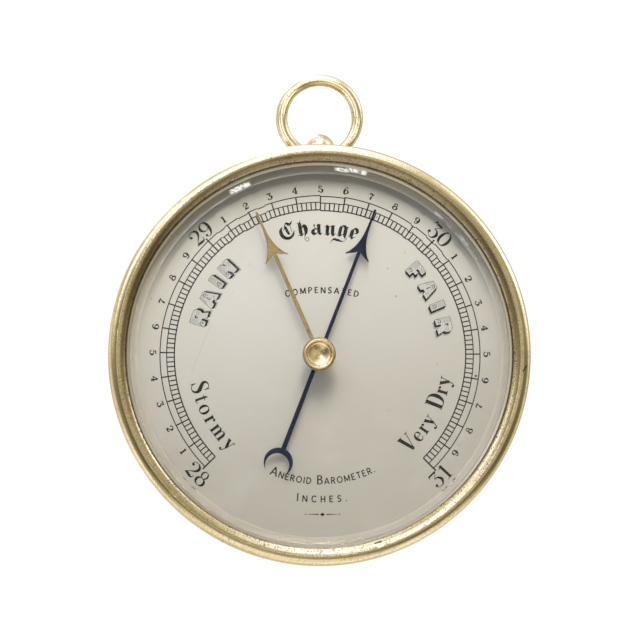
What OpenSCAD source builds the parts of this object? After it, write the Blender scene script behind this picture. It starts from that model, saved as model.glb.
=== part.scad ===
// Aneroid wall barometer: a brass drum case with a bevelled glass, a silvered
// dial, a blued steel pressure hand, a brass set hand and an aneroid movement.
//
// The model is drawn dial up, in the module face(), which then stands it on
// edge: +X is to the right of the dial, +Z is up and the dial looks along -Y.
// The origin is the centre of the flat back, on the axis of the hands.
// Inside face(), z is the height above the back and +y is the top of the dial.

/* [Case] */
// Outer radius of the half-round bezel
bezel_r = 63.5; // [63:0.1:65]
// Width of the half-round roll of the bezel
roll_w = 5.6; // [5:0.1:6]
// Outer radius of the drum
drum_r = 57.0; // [56.5:0.1:57.2]
// Thickness of the spun brass sheet
sheet_t = 0.9; // [0.7:0.05:1.0]
// Depth from the flat back to the step that carries the dial
drum_h = 31.1; // [31:0.05:31.2]

/* [Glass] */
// Thickness of the glass in its flat middle
glass_t = 3.3; // [2.8:0.1:3.3]
// Radius where the bevel begins
bevel_r0 = 54.9; // [53:0.1:56]
// Depth of the bevel at the edge of the glass
bevel_drop = 1.5; // [1.4:0.05:2]

/* [Hanging ring] */
// Radius of the ring to the middle of its wire
ring_rm = 11.6; // [11.4:0.1:12]
// Radius of the wire
ring_wire = 1.78; // [1.5:0.01:1.85]
// Radius of the ball on the stud that carries the ring
boss_r = 4.7; // [4.5:0.1:4.8]

/* [Hands] */
// Direction of the pressure hand, clockwise from the top, degrees
hand_angle = 21; // [-135:1:135]
// Direction of the set hand, clockwise from the top, degrees
set_angle = -23.8; // [-180:0.1:180]
// Length of both hands from the axis to the point
hand_len = 47.2; // [44:0.1:47.5]
// Radius of the knurled set knob
knob_r = 5.15; // [4.5:0.05:5.5]
// Number of teeth in the knurl
knurl_n = 48; // [30:1:60]

/* [Movement] */
// Radius of the base plate
plate_r = 49; // [48:0.5:50]
// Radius of the vacuum capsule at its rim
capsule_r = 24; // [23:0.5:24]
// Number of corrugations in each diaphragm
waves = 4; // [3:1:5]
// Half the width of the main spring at its bend
spring_hw = 11; // [9:0.5:11]
// Thickness of the main spring
spring_t = 1.2; // [1.0:0.1:1.2]
// Turns of the hairspring
hair_turns = 5; // [3:1:6]

/* [Hidden] */
$fn = 96;
clearance = 0.04;               // on the radius of a plain fit
function fit(r) = r + clearance;
function close_fit(r) = r + clearance / 4;
function pair(x, y = 0) = [[-x, y], [x, y]];
function reversed(points) = [for (i = [len(points) - 1:-1:0]) points[i]];

// colours used by several pieces
turned_brass = [0.80, 0.66, 0.34];
plate_brass = [0.76, 0.62, 0.32];
fitting_brass = [0.78, 0.64, 0.34];
nut_brass = [0.78, 0.62, 0.30];
steel = [0.62, 0.63, 0.65];
bright_steel = [0.66, 0.66, 0.68];
hard_steel = [0.50, 0.52, 0.56];
screw_steel = [0.34, 0.38, 0.46];

// case and bezel
back_t = 1.0;
corner_r = 3;                   // round between the back and the drum
collar_r = 60.2;                // front collar of the case
collar_top = 38.0;
roll_r = roll_w / 2;
roll_mid_r = bezel_r - roll_r;
roll_z = 44.4;
skirt_r = collar_r + 0.05;      // inside of the bezel, round the collar

// dial and glass
dial_z = 32.0;                  // underside of the dial
dial_t = 0.9;
dial_r = 59.1;
glass_z = 39.6;                 // underside of the glass
glass_r = 59.9;
glass_top = glass_z + glass_t;
glass_hole_r = 1.87;
lip_r = bezel_r - roll_w - 0.5; // thin lip that holds the glass
lip_z = glass_top - bevel_drop * (lip_r - bevel_r0) / (glass_r - bevel_r0) + 0.03;

// hanging ring and its stud
ring_z = 25;                    // height of the ring above the back
boss_y = 63.8;                  // middle of the ball of the stud
hole_y = 62.4;                  // middle of the hole in the stud
hole_r = 2.5;
stud_r = 2.0;

// base plate
plate_z = 4.0;
plate_t = 1.6;
plate_top = plate_z + plate_t;

// capsule
shell_t = 0.34;                 // thickness of a diaphragm
shell_h = 3.2;                  // from its mid line to the face of its flange
lower_shell_z = 6.77;
upper_shell_z = lower_shell_z + 2 * shell_h;
capsule_stem_r = 2.5;

// main spring, its carriage and the lever
bend_y = 41;                    // middle of the bend of the main spring
leaf_lo = 9.6;                  // underside of the lower leaf
leaf_up = 17.0;                 // underside of the upper leaf
leaf_lo_top = leaf_lo + spring_t;
leaf_up_top = leaf_up + spring_t;
bend_z = (leaf_lo + leaf_up_top) / 2;
carriage_y = 31;
clamp_top = 12.0;
lever_t = 1.2;
lever_top = leaf_up_top + lever_t;

// rocking shaft, link and chain
shaft_y = -38;
shaft_z = 8.2;
shaft_r = 1.0;
crank = 2.2;                    // throw of the crank
pin_y = shaft_y + crank;        // link pins
pin_z = 18.65;
pin_r = 0.35;
cock_x = 12.0;                  // inner face of each shaft cock
cock_hw = 3;
cock_foot_top = 7.0;
pivot_r = 0.9;                  // body of the pivot screws
arm_x = -2.5;
chain_x = -1.7;
chain_z = 25;
chain_hh = 0.4;                 // half the height of the chain
drum_core_r = 1.4;              // radius of the chain drum

// bridge and arbor
bridge_z = 27.0;
bridge_top = 28.4;
arbor_r = 0.8;
arbor_body_r = 0.9;             // thicker part, in the chain drum
arbor_pivot_r = 0.5;
lower_cock_z = 22.3;

// hands and set knob
hand_z = 36.4;                  // underside of the pressure hand
set_hand_z = 38.5;              // underside of the set hand
hand_seat_r = 1.2;              // spigot that carries a hand
stem_r = 1.8;                   // stem of the set knob
stem_z = 39.12;                 // shoulder at the inner end of the stem
knob_z = 43.2;
knurl_z = 44.9;
knurl_h = 3.7;

// shank radii of the screws
screw_r = 1.2;
case_screw_r = 1.5;
cock_screw_r = 1.0;
lever_screw_r = 0.8;
lower_cock_screw_r = 0.6;

// places of fixings, [x, y]
case_fix = [[26.9, 26.9], [-26.9, 26.9], [-26.9, -26.9], [26.9, -26.9]];
pillars = [[43.3, 7.6], [-43.3, 7.6], [0, -45.2]];
regulator = [0, 39.5];
bridge_fix = pair(30);
lower_cock_fix = pair(6.6);
carriage_fix = pair(15.5, carriage_y);
clamp_fix = pair(7, 34);
lever_fix = pair(3.4, -5.6);
cock_fix = pair(17.4, shaft_y);

// ---------------------------------------------------------------- helpers
module face() rotate([90, 0, 0]) children();
module at(place, z = 0) translate([place[0], place[1], z]) children();
// the children on the right, and their mirror image on the left
module both_sides() for (side = [-1, 1]) scale([side, 1, 1]) children();
// round bars along each axis, between two positions on it
module bar(r, z0, z1) translate([0, 0, z0]) cylinder(r = r, h = z1 - z0);
module bar_x(r, x0, x1) translate([x0, 0, 0]) rotate([0, 90, 0]) cylinder(r = r, h = x1 - x0);
module bar_y(r, y0, y1) translate([0, y0, 0]) rotate([-90, 0, 0]) cylinder(r = r, h = y1 - y0);
// upright bars at a list of places; the default heights make through holes
module bars(places, r, z0 = 0, z1 = 40) for (p = places) at(p) bar(r, z0, z1);
// a box between two corners
module box(low, high) translate(low) cube(high - low);
// a flat screw: head [radius, height] above z = 0, shank [radius, length]
// below it, and a slot across the head
module screw(head, shank, slot) {
    difference() {
        cylinder(r = head[0], h = head[1]);
        rotate(slot) translate([-head[0] - 1, -0.25, head[1] * 0.55])
            cube([2 * head[0] + 2, 0.5, head[1]]);
    }
    translate([0, 0, -shank[1]]) cylinder(r = shank[0], h = shank[1] + 0.01);
}
// screws at a list of places, each slot turned by twist degrees per mm of x
module screws(places, z, head, shank, slot, twist) for (p = places)
    at(p, z) screw(head, shank, slot + twist * p[0]);

// ------------------------------------------------------------------- case
module case_section() {
    corner_x = drum_r - corner_r;
    difference() {
        union() {
            square([corner_x, 2 * corner_r]);
            translate([corner_x, corner_r]) circle(r = corner_r, $fn = 64);
            translate([0, corner_r]) square([drum_r, dial_z - corner_r]);
            translate([0, drum_h]) square([collar_r, collar_top - drum_h]);
        }
        translate([0, back_t]) square([corner_x, 2 * corner_r]);
        translate([corner_x, corner_r]) circle(r = corner_r - sheet_t, $fn = 64);
        translate([0, corner_r]) square([drum_r - sheet_t, drum_h + 2]);
        translate([0, dial_z]) square([collar_r - sheet_t, 10]);
        // ornamental groove round the drum, near the back
        translate([drum_r + 0.25, 7]) circle(r = 0.6, $fn = 32);
    }
}
module case_body() color([0.80, 0.64, 0.30]) face() difference() {
    rotate_extrude($fn = 180) case_section();
    // countersinks for the case screws
    for (p = case_fix) at(p, -0.01) cylinder(r1 = 2.66, r2 = 1.75, h = 1.02);
    bars([regulator], 3.0, -1, 3);
    translate([0, 0, ring_z]) bar_y(2.05, drum_r - 4, drum_r + 2);
}

module bezel_section() difference() {
    union() {
        translate([roll_mid_r, roll_z]) circle(r = roll_r, $fn = 96);
        translate([roll_mid_r - roll_r, lip_z]) square([roll_r, roll_z - lip_z]);
        translate([collar_r - 0.6, lip_z - 2.2]) square([2.2, 3.6]);
        // skirt round the collar of the case
        translate([skirt_r, 33]) square([1.1, 9.5]);
        // thin lip against the glass
        translate([lip_r, lip_z]) square([1.2, 0.75]);
    }
    // groove for the retaining ring, then the room for the glass
    translate([collar_r - 4, glass_z - 1.1]) square([4.55, 1.1]);
    translate([50, lip_z - 5]) square([skirt_r - 50, 5]);
}
module bezel() color([0.83, 0.68, 0.33]) face() rotate_extrude($fn = 180) bezel_section();

module glass() color([0.86, 0.92, 0.90, 0.35]) face() rotate_extrude($fn = 180) polygon([
    [glass_hole_r, glass_z], [glass_r, glass_z], [glass_r, glass_top - bevel_drop],
    [bevel_r0, glass_top], [glass_hole_r, glass_top]]);

// an open ring, with its gap at the bottom
module glass_retaining_ring() color(nut_brass) face() difference() {
    rotate_extrude() translate([58.6, 38.6]) square([2.0, 0.95]);
    box([-3, -62, 38], [3, -50, 40]);
}

module ring_stud() color([0.82, 0.67, 0.32]) face() translate([0, 0, ring_z]) difference() {
    union() {
        // shank, hollowed at its foot to sit on the drum
        difference() {
            bar_y(boss_r, 54, boss_y);
            bar(drum_r + 0.02, -10, 10, $fn = 180);
        }
        translate([0, boss_y, 0]) sphere(r = boss_r);
        bar_y(stud_r, 51.5, 58.5);
    }
    translate([0, hole_y, 0]) bar_x(hole_r, -8, 8);
}
module ring_stud_nut() color(nut_brass) face() translate([0, 0, ring_z]) difference() {
    bar_y(4.0, 52.7, 55.8, $fn = 6);
    bar_y(fit(stud_r), 51.7, 57.7);
}
module hanging_ring() color([0.84, 0.69, 0.34]) face()
    translate([0, hole_y - 0.5 + ring_rm, ring_z])
        rotate_extrude($fn = 120) translate([ring_rm, 0]) circle(r = ring_wire, $fn = 48);

// ------------------------------------------------------------------- dial
// a disc with three feet that stand in the pillars
module dial() color([0.86, 0.84, 0.78]) face() {
    difference() {
        bar(dial_r, dial_z, dial_z + dial_t, $fn = 180);
        bar(2.2, dial_z - 1, dial_z + 3);
    }
    bars(pillars, 1.0, dial_z - 4, dial_z + 0.01);
}
module dial_pillars() color(turned_brass) face() for (p = pillars) at(p) difference() {
    union() {
        bar(2.0, plate_top, dial_z);
        bar(2.6, plate_top, plate_top + 1.6);
        bar(2.6, dial_z - 2, dial_z);
    }
    bar(1.05, dial_z - 5, dial_z + 1);
    bar(fit(screw_r), plate_top - 1, plate_top + 7);
}
// screwed in from behind the base plate
module dial_pillar_screws() color([0.55, 0.56, 0.58]) face() for (p = pillars) at(p, plate_z)
    mirror([0, 0, 1]) screw(head = [2.2, 1.3], shank = [screw_r, 7], slot = 30);

// ------------------------------------------------------- base and fixings
module base_plate() color(plate_brass) face() difference() {
    bar(plate_r, plate_z, plate_top, $fn = 160);
    bars(case_fix, fit(case_screw_r));
    bars(concat(pillars, bridge_fix, carriage_fix), fit(screw_r));
    bars(cock_fix, fit(cock_screw_r));
    bars([regulator], fit(case_screw_r));
    bar(fit(capsule_stem_r), 0, 8);
}
module case_spacers() color(turned_brass) face() for (p = case_fix) at(p) difference() {
    bar(3.4, back_t, plate_z);
    bar(1.6, 0, plate_z + 1);
}
// countersunk heads flush with the back, each slot turned its own way
module case_screws() color([0.83, 0.68, 0.36]) face() for (i = [0:3]) at(case_fix[i]) difference() {
    union() {
        cylinder(r1 = 2.6, r2 = 1.7, h = 0.95);
        bar(case_screw_r, 0.94, 6.6);
    }
    rotate(25 + 70 * i) translate([-3, -0.3, -0.1]) cube([6, 0.6, 0.6]);
}
module regulating_screw() color([0.36, 0.40, 0.48]) face() at(regulator) difference() {
    union() {
        bar(2.4, 1.3, 3.4);
        bar(case_screw_r, 3.3, 6.0);
    }
    translate([-3, -0.35, 1.0]) cube([6, 0.7, 1.2]);
}

// --------------------------------------------------------- vacuum capsule
flat_r = 5;                     // flat middle of a diaphragm
wave_span = capsule_r - 8;      // radial width of the corrugated part
wave_r = [for (i = [1:6 * waves]) flat_r + wave_span * i / (6 * waves)];
function wave(r) = 0.42 * sin(360 * waves * (r - flat_r) / wave_span);
function corrugations(rise) = [for (r = wave_r) [r, wave(r) + rise]];

// rim of a flange, and the same folded round the edge of the other flange
plain_rim = [[capsule_r, 2.86], [capsule_r, shell_h]];
folded_rim = [[capsule_r + 0.45, 2.86], [capsule_r + 0.45, 3.82], [capsule_r - 0.6, 3.82],
    [capsule_r - 0.6, 3.56], [capsule_r + 0.03, 3.56], [capsule_r + 0.03, shell_h]];

// a diaphragm with its turned-up wall and flange
module diaphragm_section(rim) {
    half_t = shell_t / 2;
    polygon(concat(
        [[0, -half_t], [flat_r, -half_t]],
        corrugations(-half_t),
        [[capsule_r - 2.2, -half_t], [capsule_r - 1.7, 2.86]],
        rim,
        [[capsule_r - 2.0, shell_h], [capsule_r - 2.5, half_t]],
        reversed(corrugations(half_t)),
        [[flat_r, half_t], [0, half_t]]));
}
module capsule_lower_shell() color([0.78, 0.78, 0.74]) face() {
    translate([0, 0, lower_shell_z]) rotate_extrude() diaphragm_section(plain_rim);
    bar(5, plate_top, 6.7);
    bar(capsule_stem_r, 1.4, plate_top + 0.01);
}
module capsule_nut() color(fitting_brass) face() difference() {
    bar(5, 1.7, plate_z, $fn = 6);
    bar(fit(capsule_stem_r), 1, 5);
}
module capsule_upper_shell() color([0.80, 0.80, 0.76]) face()
    translate([0, 0, upper_shell_z]) mirror([0, 0, 1]) rotate_extrude()
        diaphragm_section(folded_rim);
module capsule_post() color(fitting_brass) face() difference() {
    union() {
        bar(4.2, upper_shell_z + shell_t / 2, 14.6);
        bar(2.2, 14.5, 21.3);
    }
    // window for the knife edge
    box([-3, -1.35, 18.2], [3, 1.35, 20.3]);
}
// lies along x with its edge down on the upper leaf
module knife_edge() color(hard_steel) face()
    rotate([90, 0, 90]) translate([0, 0, -5.5]) linear_extrude(11)
        polygon([[0, leaf_up_top], [1.3, 19.55], [1.3, 20.25], [-1.3, 20.25], [-1.3, 19.55]]);

// ------------------------------------------------------ spring and levers
module spring_carriage() color([0.30, 0.31, 0.33]) face() difference() {
    union() {
        box([-13, 26, 6.0], [13, 42.5, leaf_lo]);
        box([-18.4, carriage_y - 2.8, 6.0], [18.4, carriage_y + 2.8, leaf_lo]);
        // rib that stands on the base plate
        box([-13, carriage_y - 1, plate_top], [13, carriage_y + 1, 6.1]);
    }
    bars(carriage_fix, 1.3);
    bars(clamp_fix, fit(screw_r));
    // hollows of the casting
    both_sides() box([3, 36.8, 5], [9, 41, 8.2]);
}
module carriage_screws() color(screw_steel) face()
    screws(carriage_fix, leaf_lo, head = [2.3, 1.5], shank = [screw_r, 5.4], slot = 40, twist = 1);

// two leaves joined by a half-round bend at the top of the dial
module main_spring() color([0.32, 0.36, 0.44]) face() difference() {
    union() {
        box([-spring_hw, 27, leaf_lo], [spring_hw, bend_y, leaf_lo_top]);
        box([-spring_hw, 14, leaf_up], [spring_hw, bend_y, leaf_up_top]);
        // tapered end of the upper leaf
        translate([0, 0, leaf_up]) linear_extrude(spring_t) polygon([
            [-spring_hw, 14.01], [spring_hw, 14.01],
            [6.2, -2], [6.2, -8.5], [-6.2, -8.5], [-6.2, -2]]);
        intersection() {
            translate([0, bend_y, bend_z]) difference() {
                bar_x(leaf_up_top - bend_z, -spring_hw, spring_hw);
                bar_x(leaf_up - bend_z, -spring_hw - 1, spring_hw + 1);
            }
            box([-20, bend_y - 0.001, 0], [20, 60, 30]);
        }
    }
    bar(2.7, 0, 30);
    bars(lever_fix, fit(lever_screw_r));
    // in the lower leaf only
    bars(clamp_fix, fit(screw_r), 0, 14);
}
module spring_clamp() color(plate_brass) face() difference() {
    box([-10.6, 30, leaf_lo_top], [10.6, 38, clamp_top]);
    bars(clamp_fix, fit(screw_r));
}
module spring_clamp_screws() color(screw_steel) face()
    screws(clamp_fix, clamp_top, head = [2.2, 1.3], shank = [screw_r, 5.2], slot = 15, twist = 9);

module main_lever() color(steel) face() difference() {
    union() {
        translate([0, 0, leaf_up_top]) linear_extrude(lever_t) polygon([
            [-5.8, -3.2], [5.8, -3.2], [5.8, -8], [1.7, -14],
            [1.4, -34.5], [-1.4, -34.5], [-1.7, -14], [-5.8, -8]]);
        // fork that holds the link pin
        both_sides() box([0.6, pin_y - 1, 17.9], [1.4, -34.3, 19.4]);
    }
    bars(lever_fix, fit(lever_screw_r));
    translate([0, pin_y, pin_z]) bar_x(close_fit(pin_r), -3, 3);
}
module compensation_strip() color(turned_brass) face()
    box([-1.3, -31, lever_top], [1.3, -12, lever_top + 0.7]);
module lever_screws() color(screw_steel) face()
    screws(lever_fix, lever_top, head = [1.5, 0.9], shank = [lever_screw_r, 2.3],
        slot = 0, twist = 60);
module link_pin() color([0.60, 0.61, 0.63]) face()
    translate([0, pin_y, pin_z]) bar_x(pin_r, -1.7, 1.7);
// an upright strip with an eye at each end
module connecting_link() color(steel) face() difference() {
    half_t = 0.45;
    union() {
        translate([0, pin_y, pin_z]) bar_x(0.95, -half_t, half_t);
        translate([0, pin_y, shaft_z]) bar_x(0.9, -half_t, half_t);
        box([-half_t, pin_y - 0.5, shaft_z], [half_t, pin_y + 0.5, pin_z]);
    }
    translate([0, pin_y, pin_z]) bar_x(fit(pin_r), -2, 2);
    translate([0, pin_y, shaft_z]) bar_x(0.55, -2, 2);
}

// ---------------------------------------------------------- rocking shaft
// puts children on the axis of the shaft
module on_shaft() translate([0, shaft_y, shaft_z]) children();

module rocking_shaft() color(steel) face() on_shaft() difference() {
    bar_x(shaft_r, -11.4, 11.4);
    // bores for the tips of the pivot screws
    both_sides() bar_x(0.55, 9.9, 12);
}
module rocking_crank() color(fitting_brass) face() on_shaft() difference() {
    union() {
        bar_x(1.9, 0.8, 2.2);
        box([0.8, 0, -0.8], [1.9, crank, 0.8]);
        translate([0, crank, 0]) bar_x(0.8, 0.8, 1.9);
        // crank pin, through the lower eye of the link
        translate([0, crank, 0]) bar_x(0.40, -0.75, 1.9);
    }
    bar_x(close_fit(shaft_r), 0, 3);
}
module rocking_arm() color(steel) face() on_shaft() {
    hook_z = chain_z - shaft_z;
    difference() {
        union() {
            bar_x(1.8, arm_x - 0.7, arm_x + 0.7);
            translate([arm_x, 0, 0]) cylinder(r = 0.42, h = hook_z + 0.6);
        }
        bar_x(close_fit(shaft_r), -4, 0);
    }
    // hook for the chain
    translate([0, 0, hook_z]) bar_x(0.28, arm_x, -1.3);
}
// an upright plate with a foot that points outwards, on each side
module shaft_cocks() color(plate_brass) face() both_sides() difference() {
    low = [cock_x, shaft_y - cock_hw, plate_top];
    union() {
        box(low, [13.6, shaft_y + cock_hw, 11.2]);
        box(low, [20.0, shaft_y + cock_hw, cock_foot_top]);
    }
    on_shaft() bar_x(fit(pivot_r), 11, 14);
    bars([cock_fix[1]], fit(cock_screw_r));
}
module cock_screws() color(screw_steel) face()
    screws(cock_fix, cock_foot_top, head = [1.8, 1.1], shank = [cock_screw_r, 2.9],
        slot = 0, twist = 3);
module pivot_screws() color(hard_steel) face() both_sides() on_shaft() difference() {
    union() {
        bar_x(0.5, 10.1, 12);
        bar_x(pivot_r, 11.7, 15.2);
        bar_x(1.15, 14.3, 15.2);
    }
    box([14.8, -2, -0.2], [16, 2, 0.2]);
}

module chain() color(bright_steel) face() {
    links = 25;
    pitch = 1.476;
    start_y = -36.9;
    // straight run from the rocking arm to the drum: plates, wide and narrow in turn
    for (i = [0:links - 1]) {
        half_w = i % 2 == 0 ? 0.18 : 0.11;
        box([chain_x - half_w, start_y + i * pitch, chain_z - chain_hh],
            [chain_x + half_w, start_y + (i + 1) * pitch + 0.02, chain_z + chain_hh]);
    }
    // eye on the hook of the arm, and the strip that joins it to the plates
    translate([chain_x, shaft_y, chain_z]) difference() {
        bar_x(0.62, -0.15, 0.15);
        bar_x(0.34, -1, 1);
    }
    box([chain_x - 0.15, shaft_y + 0.45, chain_z - 0.3],
        [chain_x + 0.15, start_y + 0.1, chain_z + 0.3]);
    // wrap round the drum
    translate([0, 0, chain_z - chain_hh]) rotate(-90) rotate_extrude(angle = 270)
        translate([drum_core_r + 0.12, 0]) square([0.36, 2 * chain_hh]);
}

// ---------------------------------------------- arbor, bridge, hairspring
module arbor_bridge() color(plate_brass) face() difference() {
    union() {
        box([-34, -3.6, bridge_z], [34, 3.6, bridge_top]);
        bar(5.2, bridge_z, bridge_top);
    }
    bar(fit(arbor_r), 0, 40);
    bars(bridge_fix, fit(screw_r));
    bars(lower_cock_fix, fit(lower_cock_screw_r));
}
module bridge_pillars() color(turned_brass) face() for (p = bridge_fix) at(p) difference() {
    union() {
        bar(2.4, plate_top, bridge_z);
        bar(3.1, plate_top, plate_top + 1.8);
        bar(3.1, bridge_z - 1.8, bridge_z);
        bar(screw_r, plate_z, plate_top + 0.01);
    }
    bar(fit(screw_r), 21, 28);
}
module bridge_screws() color(screw_steel) face()
    screws(bridge_fix, bridge_top, head = [2.2, 1.2], shank = [screw_r, 5.5],
        slot = 35, twist = 1);
// a strap under the bridge, with a block at each end
module lower_cock() color(plate_brass) face() difference() {
    union() {
        box([-8.2, -2.6, lower_cock_z], [8.2, 2.6, lower_cock_z + 1]);
        both_sides() box([5.0, -2.6, lower_cock_z], [8.2, 2.6, bridge_z]);
    }
    bar(fit(arbor_pivot_r), 0, 40);
    bars(lower_cock_fix, fit(lower_cock_screw_r), 23.6);
}
module lower_cock_screws() color(screw_steel) face()
    screws(lower_cock_fix, bridge_top, head = [1.2, 0.5], shank = [lower_cock_screw_r, 4.5],
        slot = 0, twist = 8);
module hand_arbor() color(steel) face() {
    bar(arbor_pivot_r, 22.1, 23.5);
    bar(arbor_body_r, 23.45, 26.9);
    bar(arbor_r, 26.8, 37.4);
}
module chain_drum() color(fitting_brass) face() difference() {
    union() {
        bar(drum_core_r, 23.7, 26.3);
        bar(2.1, 23.7, 24.0);
        bar(2.1, 26.0, 26.3);
    }
    bar(fit(arbor_body_r), 23, 27);
}

// one edge of the hairspring, shifted outwards from its mid line
function hair_r(a) = 2.17 + 5.66 * a / (360 * hair_turns);
function hair_edge(shift) = [for (i = [0:24 * hair_turns])
    let (a = i * 15) (hair_r(a) + shift) * [cos(a), sin(a)]];
module hairspring() color([0.30, 0.36, 0.52]) face() translate([0, 0, 29.35])
    linear_extrude(0.55) polygon(concat(hair_edge(0.07), reversed(hair_edge(-0.07))));
module hairspring_collet() color(turned_brass) face() difference() {
    bar(2.1, 28.9, 30.3);
    bar(fit(arbor_r), 28, 31);
    box([0.9, -0.2, 28], [3, 0.2, 31]);
}
module hairspring_stud() color(turned_brass) face() at([8.75, 0]) bar(0.85, bridge_top, 30.5);

// ------------------------------------------------------------------ hands
barb_y = hand_len - 15.5;       // back of the arrow head
neck_y = barb_y + 1.75;         // where the shaft meets the arrow head
barb_hw = 3.55;
// half width of the arrow head at distance r from the axis
function arrow(r) = 0.33 + barb_hw * pow((hand_len - r) / 15.6, 4);
// right side of a hand, from the axis to the point; root_w and neck_w are the
// widths of the shaft at the axis and at the arrow head
function hand_side(root_w, neck_w) = concat(
    [[root_w / 2, 0], [neck_w / 2, neck_y]],
    // hollow back of the barb, then its rounded point
    [for (i = [1:5])
        [neck_w / 2 + (barb_hw - neck_w / 2) * i / 6, neck_y - 1.75 * pow(i / 6, 0.8)]],
    [[3.45, barb_y - 0.12], [3.68, barb_y - 0.05], [3.78, barb_y + 0.18]],
    [for (i = [1:26]) let (r = barb_y + 0.5 + (hand_len - barb_y - 0.5) * i / 26)
        [arrow(r), r]]);
// the same points on the other side, in the reverse order
function other_side(points) = [for (p = reversed(points)) [-p[0], p[1]]];

// the crescent of the tail: a disc with a smaller disc taken out of it, off
// centre towards the far end; the angles are seen from each disc's centre
tail_y = -34.4;
outer_r = 4.4;
inner_r = 3.65;
inner_shift = 1.02;
outer_tip = acos((outer_r * outer_r + inner_shift * inner_shift - inner_r * inner_r)
    / (2 * outer_r * inner_shift));
inner_tip = asin(outer_r * sin(outer_tip) / inner_r);
tail_neck = asin(0.72 / outer_r);   // where the shaft meets the outer disc
function inner_point(a) = [inner_r * sin(a), tail_y - inner_shift - inner_r * cos(a)];
function outer_point(a) = [outer_r * sin(a), tail_y - outer_r * cos(a)];
tail_side = concat(
    [for (i = [1:20]) inner_point(180 + (inner_tip - 180) * i / 20)],
    [for (i = [1:20]) outer_point(outer_tip + (180 - tail_neck - outer_tip) * i / 20)]);

module pressure_hand() color([0.10, 0.13, 0.24]) face()
    translate([0, 0, hand_z]) rotate(-hand_angle) linear_extrude(0.5) difference() {
        side = concat(tail_side, [[0.62, -1]], hand_side(root_w = 1.15, neck_w = 1.0));
        union() {
            polygon(concat([inner_point(180)], side, other_side(side)));
            circle(r = 2.6);
        }
        circle(r = fit(hand_seat_r));
    }
module hand_collet() color(turned_brass) face() difference() {
    union() {
        bar(1.9, 34.4, hand_z);
        bar(hand_seat_r, hand_z - 0.1, 37.2);
    }
    bar(fit(arbor_r), 33, 38);
}
module set_hand() color([0.72, 0.56, 0.26]) face()
    translate([0, 0, set_hand_z]) rotate(-set_angle) linear_extrude(0.6) difference() {
        side = hand_side(root_w = 1.25, neck_w = 1.1);
        union() {
            polygon(concat(side, other_side(side)));
            circle(r = 2.8);
        }
        circle(r = fit(hand_seat_r));
    }

// --------------------------------------------------------------- set knob
module knurl_outline() polygon([for (i = [0:2 * knurl_n - 1])
    let (a = 180 * i / knurl_n, r = knob_r - (i % 2) * 0.2) r * [cos(a), sin(a)]]);
// hollow in the front of the knob
module knob_dish() rotate_extrude() polygon(concat(
    [[0, 60], [4.25, 60], [4.25, 49.05], [3.9, 48.85]],
    [for (i = [0:10]) let (a = 9 * i) [3.75 * cos(a), knurl_z + knurl_h - 2.1 * sin(a)]]));
module set_knob() color([0.86, 0.70, 0.34]) face() difference() {
    union() {
        bar(3.3, knob_z, 44.5);
        translate([0, 0, knurl_z]) linear_extrude(knurl_h) knurl_outline();
        // bevelled shoulders behind and in front of the knurl
        rotate_extrude() polygon([[0, 44.4], [3.9, 44.4], [4.75, 44.95], [4.75, 45.2], [0, 45.2]]);
        rotate_extrude() polygon([
            [0, 48], [4.8, 48], [4.8, 48.95], [4.55, 49.25], [4.25, 49.35], [0, 49.35]]);
        // stem through the glass, and the seat of the set hand
        bar(stem_r, stem_z, knob_z + 0.1);
        bar(hand_seat_r, 37.9, 39.2);
    }
    knob_dish();
}
module front_washer() color(turned_brass) face() difference() {
    bar(3.8, glass_top, glass_top + 0.3);
    bar(fit(stem_r), 42, 44);
}
module spring_washer() color(bright_steel) face() difference() {
    bar(3.2, stem_z, glass_z);
    bar(fit(stem_r), 39, 41);
}
module set_hand_nut() color(turned_brass) face() difference() {
    bar(2.3, 37.75, set_hand_z);
    bar(fit(hand_seat_r), 37, 39);
    box([-3, -0.3, 37.6], [3, 0.3, 37.95]);
}

case_body();
bezel();
glass();
glass_retaining_ring();
ring_stud();
ring_stud_nut();
hanging_ring();
dial();
dial_pillars();
dial_pillar_screws();
base_plate();
case_spacers();
case_screws();
capsule_lower_shell();
capsule_upper_shell();
capsule_post();
capsule_nut();
knife_edge();
spring_carriage();
carriage_screws();
main_spring();
spring_clamp();
spring_clamp_screws();
main_lever();
compensation_strip();
lever_screws();
connecting_link();
link_pin();
rocking_shaft();
rocking_crank();
rocking_arm();
shaft_cocks();
cock_screws();
pivot_screws();
chain();
arbor_bridge();
bridge_pillars();
bridge_screws();
lower_cock();
lower_cock_screws();
hand_arbor();
chain_drum();
hairspring();
hairspring_collet();
hairspring_stud();
pressure_hand();
hand_collet();
set_hand();
set_knob();
set_hand_nut();
front_washer();
spring_washer();
regulating_screw();
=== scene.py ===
"""A round aneroid barometer: brass bezel, bevelled glass, silvered dial, two hands and a knob.

Shapes are written in millimetres in the dial's own axes: x right, y up, z towards the viewer.
Blender works in metres in the row frame: x right, y away from the viewer, z up.
Angles round the dial are clockwise from up.
"""
import math
import random
from functools import cached_property

import bmesh
import bpy
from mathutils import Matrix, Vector
from mathutils.geometry import tessellate_polygon


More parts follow.
